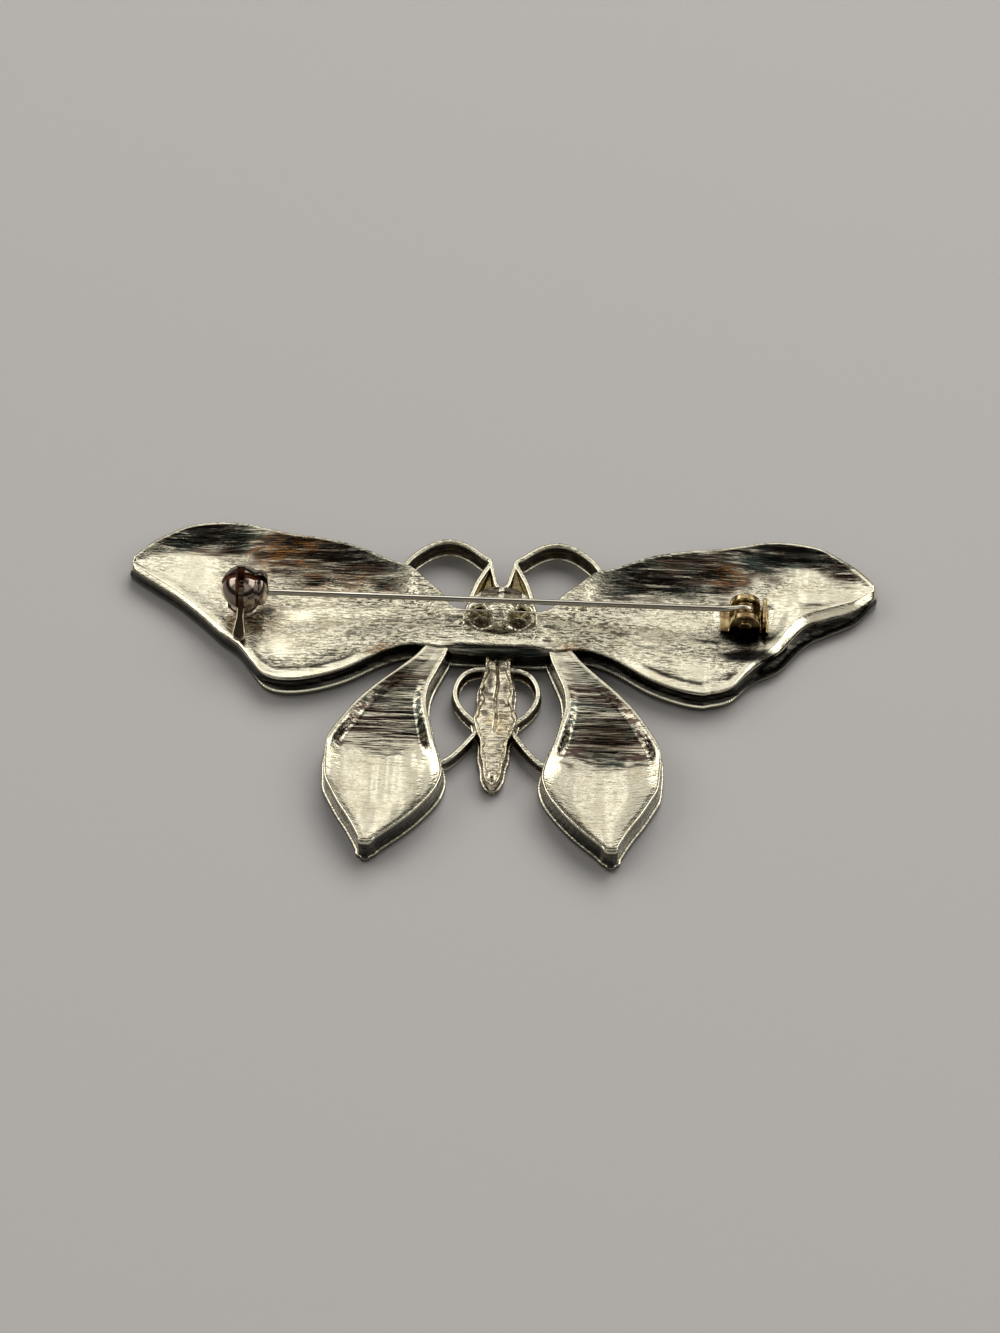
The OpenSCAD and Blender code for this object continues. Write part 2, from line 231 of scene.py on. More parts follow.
def side_profile(t, recess, roll, plain, f=FLARE):
    """From the front panel over the lip and up the wall to the rim: (inset, height, wall mark) of each point, where
    the wall mark is painted shade.

    recess cuts the wall back above the lip, roll is how far the rim is rounded over, plain is 1 where the wall
    swells out over the lip and hides it, and f is how far the lip stands out."""
    flat, tall, spread = 0 * t, t - LIP_TOP, f - 0.16
    lip = [
        (flat - f, flat + LIP_TOP - 0.12, 0.75),
        (flat - f + 0.05, flat + LIP_TOP - 0.02, 0.0),
        (flat - f + 0.17, flat + LIP_TOP + 0.01, 0.1),
        (flat - f + 0.28 + 0.1 * recess, flat + LIP_TOP + 0.04, 0.95),
        (flat + recess, LIP_TOP + 0.25 * tall, 1.0),
        (flat + 0.9 * recess, LIP_TOP + 0.6 * tall, 1.0),
    ]
    swell = [
        (flat - f, flat + LIP_TOP - 0.16, 0.8 - 0.2 * (f - FLARE)),
        (flat - f, LIP_TOP + 0.02 * tall, 0.95),
        (flat - f + 0.05 * spread, LIP_TOP + 0.1 * tall, 1.0),
        (flat - f + 0.16 * spread, LIP_TOP + 0.2 * tall, 1.0),
        (flat - f + 0.32 * spread, LIP_TOP + 0.32 * tall, 1.0),
        (flat - f + 0.58 * spread, LIP_TOP + 0.46 * tall, 0.92 + 0.08 * np.minimum(spread, 1)),
    ]
    points = [
        (flat + LIP_W - f, flat + DOME, flat),
        (flat + 0.8 * LIP_W - f, flat + LIP_FACE, flat),
        (flat + 0.25 * LIP_W - f, flat + LIP_FACE, flat),
        (flat - f + 0.04, flat + LIP_FACE + 0.05, flat + 0.8),
        (flat - f, flat + LIP_FACE + 0.16, flat + 0.9),
    ]
    points += [tuple(mix(u, v, plain) for u, v in zip(a, b)) for a, b in zip(lip, swell)]
    start, fall = mix(flat, flat - 0.16, plain), np.minimum(0.18 + 0.62 * roll, 0.46 * tall)
    rim_mark = mix(0.9, 0.85 + 0.13 * np.minimum(spread, 1), plain)
    for angle, slide, sink in RIM_ARC:
        turn = math.radians(angle)
        across = mix(1 - math.cos(turn), slide, plain)
        down = mix(1 - math.sin(turn), sink, plain)
        points.append((mix(start, roll, across), t - fall * down, rim_mark * max(0.0, 1 - angle / 30)))
    return points


print("points from the front panel to the rim:", len(side_profile(THICK, 0, 0.2, 0)))

# %% [markdown]
# ## The whole section
# A full ring goes up the lower side, over the back, down the upper side and home below the front panel. All rings of
# a piece are worked out at once, as one row of numbers for each point, because that is much quicker than one by one.


# %% Close the section into rings
def wing_rings(
    lo, hi, t, lean_lo, lean_hi, recess, roll_lo, roll_hi, plain, hollow, back=96, front=20, flare=FLARE
):
    """Sections between the edges lo and hi as (rings, points) arrays: the place across, the height, the wall mark
    (painted shade).

    back and front are how many points the two faces have, and hollow gives the depth of the back below its rim."""
    w = hi - lo
    limit = 0.47 * w  # no point of one edge goes further in than this

    def inward(d, k):
        return np.where(d > 0, limit * (1 - np.exp(-np.maximum(d, 0) * k / limit)), np.maximum(d, -0.3 * w))

    across, height, wall = [], [], []

    def add(place, z, mark):
        across.append(place)
        height.append(z)
        wall.append(mark + 0 * w)

    for d, z, m in side_profile(t, recess, roll_lo, plain, flare):
        add(lo + inward(d, lean_lo), np.minimum(z, t), m)
    a0, a1 = inward(roll_lo, lean_lo), w - inward(roll_hi, lean_hi)
    q = np.linspace(0, 1, back + 2)[1:-1]
    for s in 0.45 * q + 0.55 * (0.5 - 0.5 * np.cos(np.pi * q)):
        a = a0 + (a1 - a0) * s
        add(lo + a, t - hollow(lo + a, a / lean_lo, (w - a) / lean_hi, a / w), 0)
    for d, z, m in reversed(side_profile(t, 0 * recess, roll_hi, 0 * plain)):
        add(hi - inward(d, lean_hi), np.minimum(z, t), m)
    f0, f1 = across[-1], across[0]
    swell = np.minimum(DOME, 0.12 * w)
    for s in np.linspace(0, 1, front + 2)[1:-1]:
        add(f0 + (f1 - f0) * s, DOME - swell * math.sin(math.pi * s) ** 0.7, 0)
    return np.stack(across, 1), np.stack(height, 1), np.stack(wall, 1)


def even_rings(half_width, t, roll, hollow, back, front):
    """The same for a form with two equal sides, such as the abdomen."""
    flat = 0 * t
    rolled = flat + roll
    return wing_rings(
        -half_width, half_width, t, flat + 1, flat + 1, flat, rolled, rolled, flat, hollow, back, front
    )


def along_rings(values, like):
    """One value for each ring, given to all the points of that ring."""
    return np.repeat(values[:, None], like.shape[1], 1)


print("both sides of a section have", 2 * len(side_profile(THICK, 0, 0.2, 0)), "points, and its faces have more")

# %% [markdown]
# ## Front wings
# Both front wings and the bridge between them are one casting, tip to tip. Each row of the table is a place along the
# span, as a share of its half, with the wing's lower and upper edge there and its thickness. The right wing's lower
# rim is dented and its wall spread out near the hinge, so a second table is added on that side alone.

# %% Outline of the front wings
# Share of the half span, lower edge, upper edge, thickness
WING_ROWS = [
    [0.000, 0.599, 0.735, 1.00],
    [0.116, 0.600, 0.735, 1.00],
    [0.160, 0.610, 0.785, 1.00],
    [0.205, 0.616, 0.827, 0.98],
    [0.245, 0.614, 0.864, 0.97],
    [0.302, 0.592, 0.884, 0.96],
    [0.398, 0.535, 0.926, 0.95],
    [0.491, 0.502, 0.947, 0.94],
    [0.564, 0.495, 0.956, 0.93],
    [0.611, 0.511, 0.967, 0.91],
    [0.648, 0.555, 0.976, 0.88],
    [0.689, 0.607, 0.987, 0.85],
    [0.739, 0.645, 0.9925, 0.83],
    [0.795, 0.697, 0.990, 0.81],
    [0.852, 0.745, 0.978, 0.79],
    [0.902, 0.780, 0.952, 0.77],
    [0.943, 0.807, 0.925, 0.76],
    [0.973, 0.827, 0.896, 0.75],
    [0.985, 0.836, 0.883, 0.74],
    [0.991, 0.840, 0.876, 0.69],
    [0.996, 0.843, 0.869, 0.56],
    [0.999, 0.847, 0.861, 0.34],
]
# Share of the half span, how far the rim is raised, how many millimetres more the lip stands out
RIGHT_EDGE = [
    [0.000, 0.000, 0.0],
    [0.500, 0.000, 0.0],
    [0.550, 0.006, 0.0],
    [0.600, 0.011, 0.1],
    [0.650, 0.012, 0.5],
    [0.700, 0.004, 1.1],
    [0.740, 0.007, 1.4],
    [0.770, 0.019, 1.6],
    [0.800, 0.029, 1.65],
    [0.828, 0.024, 1.5],
    [0.855, 0.012, 1.3],
    [0.880, 0.004, 1.15],
    [0.910, -0.005, 0.95],
    [0.940, -0.011, 0.75],
    [0.970, -0.008, 0.35],
    [1.000, 0.000, 0.0],
]
half = np.concatenate([np.linspace(0, 0.97, 220), np.linspace(0.97, 0.999, 34)[1:]])
span = np.concatenate([-half[:0:-1], half])
out = np.abs(span)  # 0 at the middle of the bridge, 1 at a wing tip
on_right = span > 0
low_share, high_share, thick_share = rows_at(WING_ROWS, out)
rim_raise, lip_spread = rows_at(RIGHT_EDGE, out)
low_share = low_share + rim_raise * on_right
wing_x = span * HALF_W
wing_lo, wing_hi = y_of(low_share), y_of(high_share)
wing_t = thick_share * THICK
chord = wing_hi - wing_lo
# How far each rim is rounded over, where the lip is hidden, and how deep the wall is cut back above it
roll_low = 0.2 + np.where(on_right, 0.95, 0.3) * ease(0.61, 0.76, out) + 1.3 * (1 - ease(0.09, 0.16, out))
roll_top = 0.23 + np.where(on_right, 0.45, 0.1) * ease(0.82, 0.95, out)
plain = ease(0.612, 0.665, out)
WALL_CUT = 0.5
recess = WALL_CUT * ease(0.07, 0.16, out) * (1 - ease(0.59, 0.635, out))
print("front wings:", len(span), "rings, up to", round(float(chord.max()), 1), "mm from rim to rim")

# %% [markdown]
# ## The hollow backs
# The backs fall away steeply below the upper rim and run almost flat to the lower one. That slope is what reflects
# dark in the upper part of each wing. The soft minimum of a steep and a gentle slope gives both in one surface, with
# no crease where they meet. Two flat seats are left standing in it, where the catch and the hinge are fixed.

# %% Hollow out the backs
PIN_Y, CATCH_X, HINGE_X = 10.4, -30.0, 28.3


def box_gap(x, y, cx, cy, rx, ry):
    """Distance outside a rectangle, in millimetres."""
    return np.hypot(np.maximum(np.abs(x - cx) - rx, 0), np.maximum(np.abs(y - cy) - ry, 0))


def front_hollow(y, d_lo, d_hi, share):
    # Two slopes in one
    deep = 1.2 * ease(0.07, 0.34, out) * (1 - 0.7 * ease(0.76, 0.96, out))
    zone = (0.31 + 0.05 * ripple(wing_x, y, 7, 3, 4)) * chord
    steep = np.clip((d_hi - roll_top - 0.12) / zone, 0, 1.6)
    climb = np.clip((d_lo - roll_low) / (0.66 * chord), 0, 1)
    gentle = 0.82 * climb + 0.18 * ease(0, 0.2, climb)
    dish = -np.log(np.exp(-9 * steep) + np.exp(-9 * gentle)) / 9
    dish = deep * np.maximum(dish, 0) * ease(-0.1, 0.5, d_hi - roll_top)
    # Shallow waves from the casting, and a pocket behind the head
    inside = ease(0, 0.9, d_lo - roll_low) * ease(0, 0.4, d_hi - roll_top)
    waves = 0.045 * ripple(wing_x, y, 9, 2.4, 5) + 0.016 * ripple(wing_x, y, 4, 0.9, 6)
    dented = spots(wing_x, y, [(1.0, -19, 1.5, 8, 3.2), (0.6, 20, 1.2, 5, 1.6)])
    waves = waves + 0.09 * dented * ripple(wing_x, y, 11, 0.9, 8)
    waves = waves + 0.13 * (1 - ease(0.1, 0.22, out)) * ripple(wing_x, y, 2.8, 0.8, 9)
    pocket = 1.3 * (1 - ease(3.6, 4.2, np.abs(wing_x))) * ease(6.6, 7.3, y)
    floor_z = wing_t - dish - (waves + pocket) * inside
    # The seats stay just below the feet that stand on them, and slope off all round
    seat_top = SEAT_Z - 0.01
    from_catch = np.hypot(wing_x - CATCH_X, y - PIN_Y)
    catch_seat = seat_top - 0.34 * np.maximum(from_catch - 1.5, 0) ** 1.3
    hinge_seat = seat_top - 0.36 * box_gap(wing_x, y, HINGE_X, 10.3, 2.75, 1.9) ** 1.2
    near = np.minimum(from_catch - 1.4, box_gap(wing_x, y, HINGE_X, PIN_Y, 2.8, 1.68))
    top = np.maximum(floor_z, np.maximum(catch_seat, hinge_seat))
    return wing_t - mix(np.minimum(top, seat_top), top, ease(0.05, 0.9, near))


y_at, z_at, wall_shade_at = wing_rings(
    wing_lo,
    wing_hi,
    wing_t,
    lean(wing_lo, wing_x),
    lean(wing_hi, wing_x),
    recess,
    roll_low,
    roll_top,
    plain,
    front_hollow,
    flare=FLARE + lip_spread * on_right,
)
x_at = along_rings(wing_x, y_at)
print("the front wings are", round(float(z_at.max()), 2), "mm high, with rings of", z_at.shape[1], "points")

# %% [markdown]
# ## Where the front wings are dark, stained or worn
# Each finish is a number from 0 to 1 on every point of the mesh: wall for painted black shade on the walls, painted
# shadows by the hinge and the catch and a painted dark line along the lower rim, shade for the painted shade of the
# dark upper part, stain for brown spots, rope for the twisted lip, and polish for metal that hands have rubbed smooth.
# The material reads them by name. They stay with the metal from every side, which light or a picture laid over it
# would not.

# %% Mark and skin the front wings
PAINTED_DARK_SPOTS = [
    (1.5, 28.7, 8.5, 3.5, 1.35),
    (2.2, 28.8, 5.6, 3.2, 0.75),
    (1.3, 24.0, 7.5, 1.5, 0.32),
    (0.9, 17.0, 6.6, 1.7, 0.16),
]
RUBBED_SPOTS = [(1.0, -25.7, 4.6, 2.6, 1.5), (1.0, -23.5, 9.0, 2.0, 1.2), (1.0, 23.0, 2.9, 3.0, 1.6)]
STAIN_SPOTS = [
    (1.0, -25.4, 18.0, 4.2, 2.6),
    (0.9, 26.2, 16.9, 2.2, 1.3),
    (0.45, -27.4, 8.6, 2.4, 2.6),
    (0.5, -18.5, 13.5, 6, 2.2),
    (1.0, 8.6, 5.2, 1.6, 1.2),
    (0.8, -13.5, 4.2, 2.2, 1.1),
]
on_back = z_at > BACK_Z
below_top, above_low = wing_hi[:, None] - y_at, y_at - wing_lo[:, None]
# The painted shade of the dark upper part, which ends before the tips
drop = below_top / chord[:, None] + 0.07 * ripple(x_at, y_at, 4, 1.3, 41)
drop = drop * np.where(on_right, 1 - 0.4 * ease(0.82, 0.92, out), 1)[:, None]
near_tip = np.where(on_right, ease(0.925, 0.955, out), ease(0.9, 0.965, out))
shade_at = ease(0.22, 0.5, below_top - 0.6 * (roll_top[:, None] - 0.18)) * (1 - ease(0.25, 0.38, drop)) * on_back
shade_at = shade_at * (ease(0.2, 0.34, out) * (1 - near_tip))[:, None]
# Painted shade along the lower edge of the bridge
bridge_edge = ease(5.2, 5.7, y_at + 0.5 * ripple(x_at, y_at, 3, 0.8, 45))
shade_at = np.maximum(shade_at, (1 - ease(0.1, 0.17, out))[:, None] * (1 - bridge_edge) * on_back)
# Painted black shadow below the hinge and beside the catch, dark spots to the hinge's left, and a painted dark
# reflection in a line along the lower rim
uneven_y = y_at + 0.3 * ripple(x_at, y_at, 2.2, 1, 43)
painted_dark = spots(x_at, uneven_y, PAINTED_DARK_SPOTS) + 0.9 * spot(x_at, y_at, -27.2, 9.6, 1.0, 0.8)
painted_rim_line = falloff(above_low - 1.6 - 0.25 * ripple(x_at, y_at, 6, 2, 49), 0.28)
painted_rim_line = painted_rim_line * ease(0.0, 0.3, ripple(x_at, y_at, 4, 3, 51) + 0.55)
painted_dark = np.maximum(painted_dark, painted_rim_line * (ease(0.36, 0.4, out) * (1 - ease(0.6, 0.65, out)))[:, None])
wall_shade_at = np.clip(np.maximum(wall_shade_at, painted_dark * on_back), 0, 1)
# Metal rubbed smooth: the swollen lower edge, the tips, a band by the lower rim, the bridge, and three spots
polish_at = plain[:, None] * (1 - ease(0.9, 2.2, above_low))
for rubbed in (
    0.8 * ease(0.68, 0.8, out)[:, None],
    ease(0.3, 0.38, out)[:, None] * (1 - ease(1.1, 1.6, above_low)),
    0.75 * (1 - ease(0.12, 0.2, out))[:, None],
    spots(x_at, y_at, RUBBED_SPOTS),
):
    polish_at = np.maximum(polish_at, rubbed)
on_lip = (z_at > 0.3) * (z_at < 1.2) * (y_at < wing_lo[:, None] + 1)
marks = {
    "wall": wall_shade_at,
    "shade": shade_at,
    "stain": np.clip(spots(x_at, y_at, STAIN_SPOTS), 0, 1),
    "rope": on_lip * (recess / WALL_CUT)[:, None] * (wall_shade_at < 0.3),
    "polish": np.clip(polish_at, 0, 1),
}
front_wings = skin("front_wings", np.stack([x_at, y_at, z_at], 2), marks)

# %% [markdown]
# ## Hind wings
# Each hind wing is a leaf-shaped spoon. It gets deeper from its root to the middle and flattens towards its tip, so
# its upper half mirrors the dark part of the studio and its lower half the bright one.

# %% Outline of the hind wings
# Share of the height, inner edge, outer edge, thickness
HIND_ROWS = [
    [0.001, 0.305, 0.317, 0.34],
    [0.014, 0.301, 0.321, 1.00],
    [0.029, 0.282, 0.330, 1.06],
    [0.052, 0.254, 0.342, 1.07],
    [0.085, 0.216, 0.361, 1.07],
    [0.123, 0.180, 0.386, 1.06],
    [0.168, 0.146, 0.411, 1.05],
    [0.202, 0.131, 0.427, 1.04],
    [0.236, 0.126, 0.431, 1.03],
    [0.281, 0.136, 0.433, 1.02],
    [0.330, 0.155, 0.427, 1.01],
    [0.386, 0.168, 0.396, 1.00],
    [0.438, 0.179, 0.361, 1.00],
    [0.490, 0.174, 0.314, 0.99],
    [0.539, 0.155, 0.262, 0.98],
    [0.580, 0.138, 0.220, 0.98],
    [0.602, 0.132, 0.203, 0.97],
    [0.622, 0.128, 0.190, 0.92],
]
# Height on the brooch in millimetres, depth of the hollow
HIND_DEPTH = [
    [-22.5, 0.08],
    [-20.5, 0.3],
    [-17.5, 0.62],
    [-14, 1.0],
    [-11, 1.28],
    [-9, 1.3],
    [-6.5, 1.05],
    [-3, 0.62],
    [0, 0.3],
    [3, 0.1],
    [6, 0.06],
]
hind_share = np.concatenate([np.linspace(0.0085, 0.04, 22), np.linspace(0.04, 0.622, 170)[1:]])
hind_in, hind_out, hind_t = rows_at(HIND_ROWS, hind_share)
hind_y = y_of(hind_share)
hind_in, hind_out, hind_t = hind_in * HALF_W, hind_out * HALF_W, hind_t * THICK
tip = hind_y - hind_y[0]  # distance from the point of the wing
middle = (hind_in + hind_out) / 2
round_tip = np.sqrt(np.clip(tip + 0.01, 0, 2.0) * np.clip(2.0 - tip, 0, 2.0))
hind_half = np.maximum((hind_out - hind_in) / 2, round_tip)
hind_in, hind_out = middle - hind_half, middle + hind_half
print("hind wings:", len(hind_y), "rings, up to", round(float(2 * hind_half.max()), 1), "mm wide")

# %% [markdown]
# ## The spoons of the hind wings
# Below, a spoon is one broad curve from rim to rim. Above, it is a trough with a flat floor. Waves that are long
# across the wing give the filed bands. The point is closed by drawing the first ring together in six short steps, so
# that the lip runs round it as well. The left wing is drawn as a right one and changes sides at the end. Its dark part
# ends about a millimetre higher than the right wing's.


# %% Model the hind wings
def hind_hollow(side):
    def hollow(x, d_in, d_out, share):
        (deep,) = rows_at(HIND_DEPTH, hind_y + (0.9 if side > 0 else 0))
        near = np.minimum(d_in, d_out)
        broad = 1 - np.abs(2 * share - 1) ** 2.4
        trough = ease(0.3, 1.7, near)
        low = ease(-6.5, -10.5, hind_y)
        waves = 0.03 * ripple(x, hind_y, 9, 1.5, 11 + side) + 0.014 * ripple(x, hind_y, 6, 0.7, 13 + side)
        bands = 0.05 * ripple(x, hind_y, 1.7, 9, 15 + side) * low
        step = 0.035 * ease(0.4, 0.8, near)
        relief = (waves * mix(1, 0.4, low) + bands) * ease(0.5, 1.4, near)
        return (deep * mix(trough, broad, low) + step + relief) * ease(0, 1.2, tip)

    return hollow


def hind_wing(name, side):
    flat = 0 * hind_y
    x_at, z_at, wall_shade_at = wing_rings(
        hind_in,
        hind_out,
        hind_t,
        lean(hind_in, hind_y),
        lean(hind_out, hind_y),
        flat + 0.1,
        flat + 0.22,
        flat + 0.2,
        flat,
        hind_hollow(side),
        back=72,
        front=14,
    )
    y_at = along_rings(hind_y, x_at)
    on_back = z_at > BACK_Z
    # Painted shade above a ragged line, with one painted dark patch, and painted shade on the sloped wall of the point
    edge = np.minimum(x_at - hind_in[:, None], hind_out[:, None] - x_at)
    ragged = y_at + 1.3 * ripple(x_at, y_at, 2.2, 1.1, 17 + side)
    ragged = ragged + (1.0 if side > 0 else 0)
    shade_at = ease(-9.5, -7.5, ragged) * ease(0.35, 0.8, edge) * on_back * (1 - 0.5 * ease(0, 3, y_at))
    dark_patch_place = (13.1, -6.2) if side > 0 else (12.2, 0.6)
    dark_patch = spot(x_at + 0.4 * ripple(x_at, y_at, 3, 0.5, 53), y_at, *dark_patch_place, 3.3, 2.3)
    dark_patch_at = 0.95 * dark_patch * on_back * ease(0.3, 0.6, edge)
    by_middle = np.abs(x_at - middle[:, None]) < 2
    shaded_tip = (z_at > LIP_TOP + 0.05) * (z_at < 3.5) * (tip < 0.75)[:, None] * by_middle
    wall_shade_at = np.maximum(wall_shade_at, 0.95 * shaded_tip)
    # Close the point
    rings = np.stack([x_at, y_at, z_at], 2)
    push = np.where(z_at[0] < LIP_TOP, 0.9 * FLARE, 0.06)
    caps = []
    for angle in (90, 78, 64, 48, 32, 16):
        turn = math.radians(angle)
        cap = rings[0].copy()
        cap[:, 0] = mix(middle[0], cap[:, 0], math.cos(turn))
        cap[:, 1] = cap[:, 1] - push * math.sin(turn)
        caps.append(cap)
    rings = np.concatenate([np.array(caps), rings])
    rings[:, :, 0] *= side
    marks = {"wall": wall_shade_at, "shade": shade_at, "grime_and_shade": dark_patch_at}
    marks = {k: np.concatenate([np.repeat(v[:1], len(caps), 0), v]) for k, v in marks.items()}
    return skin(name, rings, marks)


hind_wing_left = hind_wing("hind_wing_left", -1)
hind_wing_right = hind_wing("hind_wing_right", 1)

# %% [markdown]
# ## Thorax and head
# The back of the head has two curled hollows behind the eyes with thin ridges round them, and a boss between. They
# are pressed into a dense skin by the distance of each point from a drawn line, as a graver would cut them.
# The skin is made of over a hundred close rings, so that the cuts stay crisp.


# %% Model the thorax
def from_line(x, y, line):
    best = np.full(np.shape(x), 99.0)
    for (ax, ay), (bx, by) in zip(line[:-1], line[1:]):
        dx, dy = bx - ax, by - ay
        t = np.clip(((x - ax) * dx + (y - ay) * dy) / (dx * dx + dy * dy), 0, 1)
        best = np.minimum(best, np.hypot(x - ax - t * dx, y - ay - t * dy))
    return best


HEAD_ROWS = [
    [0.592, 0.070, 0.98],
    [0.618, 0.110, 1.00],
    [0.663, 0.118, 1.02],
    [0.708, 0.110, 1.02],
    [0.741, 0.096, 1.01],
    [0.771, 0.080, 1.00],
    [0.793, 0.054, 0.98],
    [0.806, 0.024, 0.94],
    [0.811, 0.008, 0.40],
]
CURL_OUTER = [(3.15, 10.5), (2.3, 10.8), (1.5, 10.35), (1.05, 9.5)]
CURL_INNER = [(2.95, 9.2), (2.35, 9.75), (1.7, 9.55), (1.2, 8.7), (0.4, 7.9)]
CREASE = [(-4.1, 8.6), (-2.4, 7.7), (0.0, 7.2), (2.4, 7.7), (4.1, 8.6)]
head_share = np.linspace(0.622, 0.811, 130)
head_half, head_thick = rows_at(HEAD_ROWS, head_share)
head_y = y_of(head_share)
on_bridge = 1 - ease(10.2, 11.6, head_y)
head_half, head_t = head_half * HALF_W, head_thick * THICK - 0.42 * on_bridge


def head_hollow(x, d_lo, d_hi, share):
    y = head_y
    side = np.abs(x)
    near = np.minimum(d_lo, d_hi)
    ridge = 0.6 * falloff(from_line(side, y, CURL_OUTER), 0.2) + 0.7 * falloff(from_line(side, y, CURL_INNER), 0.2)
    well = 1.2 * falloff(np.hypot(side - 2.25, (y - 9.3) * 0.9), 1.2, 4)
    well = well + 0.7 * falloff(np.hypot((side - 2.2) * 0.6, y - 10.2), 0.45)
    cut = 0.6 * falloff(from_line(x, y, CREASE), 0.26)
    boss = 0.25 * falloff(np.hypot(x * 0.9, y - 9.9), 0.7)
    rough = 0.08 * ripple(x, y, 1.5, 0.9, 21) * ease(0.2, 0.8, near) + 0.03 * ripple(x, y, 0.7, 0.5, 22)
    blend = 0.34 * (1 - ease(5.4, 7.0, y)) - 0.42 * on_bridge * ease(0.45, 1.2, near)
    return (well + cut - ridge - boss) * ease(0.05, 0.6, near) + rough + 0.04 + blend


x_at, z_at, wall_shade_at = even_rings(head_half, head_t, 0.5, head_hollow, back=110, front=14)
y_at = along_rings(head_y, x_at)
beside = np.abs(x_at)
curls = np.minimum(from_line(beside, y_at, CURL_OUTER), from_line(beside, y_at, CURL_INNER))
above = ease(11.2, 12.4, y_at + 0.5 * ripple(x_at, y_at, 1.2, 1.2, 47)) * (beside < 2.4) * (beside > 0.3)
# Painted shade in the curled hollows and along the crease, and dark patches at the top of the head and beside the
# crease
grime_and_shade = falloff(np.hypot(beside - 2.25, (y_at - 9.4) * 0.9), 1.3, 4) * ease(0.1, 0.3, curls)
for dirt_and_shade in (
    0.9 * above,
    0.9 * falloff(from_line(x_at, y_at, CREASE), 0.28),
    0.6 * spot(beside, y_at, 2.4, 7.6, 0.9, 0.35),
):
    grime_and_shade = np.maximum(grime_and_shade, dirt_and_shade)
thorax = skin("thorax", np.stack([x_at, y_at, z_at], 2), {"wall": wall_shade_at, "grime_and_shade": grime_and_shade})

# %% [markdown]
# ## Abdomen
# The abdomen is a small boat: a wavy raised rim round a hollow with cross ridges, like the rings of the real insect.
# Low waves along it give the rings, and the rim's width wanders with two sine waves of different length.

# %% Model the abdomen
ABDOMEN_ROWS = [
    [0.213, 0.006, 0.34],
    [0.222, 0.013, 0.60],
    [0.244, 0.023, 0.63],
    [0.278, 0.027, 0.65],
    [0.304, 0.034, 0.66],
    [0.347, 0.037, 0.67],
    [0.374, 0.048, 0.68],
    [0.412, 0.057, 0.68],
    [0.436, 0.050, 0.68],
    [0.466, 0.043, 0.68],
    [0.507, 0.045, 0.68],
    [0.561, 0.034, 0.68],
    [0.640, 0.036, 0.68],
]
BODY_STAINS = [(0.9, 0.9, -4.6, 0.7, 1.2), (0.6, -0.8, -4.0, 0.5, 0.9)]
BODY_GRIME_AND_SHADE = [
    (0.9, -0.85, 1.6, 0.4, 1.5),
    (0.8, 1.0, 0.4, 0.3, 1.0),
    (0.7, 0.3, -3.3, 0.5, 0.35),
    (0.6, -0.5, -2.0, 0.3, 0.4),
    (0.6, 0, -11.6, 0.35, 0.16),
]
body_share = np.linspace(0.213, 0.64, 260)
body_half, body_thick = rows_at(ABDOMEN_ROWS, body_share)
body_y = y_of(body_share)
body_half, body_t = body_half * HALF_W, body_thick * THICK


def body_hollow(x, d_lo, d_hi, share):
    near = np.minimum(d_lo, d_hi)
    upper = ease(-9.5, -7.0, body_y)
    edge = 0.24 + 0.12 * np.sin(body_y * 3.3 + 0.8 * np.sin(body_y * 1.7))
    rings = 0.007 * np.sin(body_y * 5.2 + 0.5 * x) * upper + 0.01 * ripple(x, body_y, 0.9, 0.7, 31)
    crease = 0.3 * falloff(x - 0.1 * np.sin(body_y * 1.3), 0.16) * ease(-6.5, -4.5, body_y)
    dish = 0.4 * ease(edge, edge + 0.35, near) - 0.25 * spot(x, body_y, 0, -11.2, 0.5, 0.7)
    return dish + crease + rings * ease(edge, edge + 0.3, near) + 0.02 * ripple(x, body_y, 1.4, 1.1, 33)


x_at, z_at, wall_shade_at = even_rings(body_half, body_t, 0.2, body_hollow, back=48, front=12)
y_at = along_rings(body_y, x_at)
# Painted shade along the crease down the back, with dark spots and flecks towards the top and a painted dark
# reflection at the tail
crease_shade = falloff(x_at - 0.15 - 0.1 * np.sin(2 * y_at), 0.15) * ease(-3.2, -1.5, y_at)
flecks = ease(0.1, 0.5, ripple(x_at, y_at, 1.3, 0.8, 63)) * ease(-6.0, -2.5, y_at)
grime_and_shade = np.clip(spots(x_at, y_at, BODY_GRIME_AND_SHADE, 0.9 * crease_shade), 0, 1)
stain = np.clip(spots(x_at, y_at, BODY_STAINS), 0, 1)
marks = {"wall": wall_shade_at, "stain": stain, "grime_and_shade": np.maximum(grime_and_shade, 0.8 * flecks)}
abdomen = skin("abdomen", np.stack([x_at, y_at, z_at], 2), marks)

# %% [markdown]
# ## Antennae, scrolls and struts
# These are upright strips with a bead along the top and a lip along the bottom, so that light catches two thin lines
# with a dark wall between, deepened by painted shade. One profile is carried along each path. A plain extruded band
# would miss both lines.

# %% Carry a strip along a path
STRIP_LOW = 0.35  # height of the underside of every strip, in millimetres


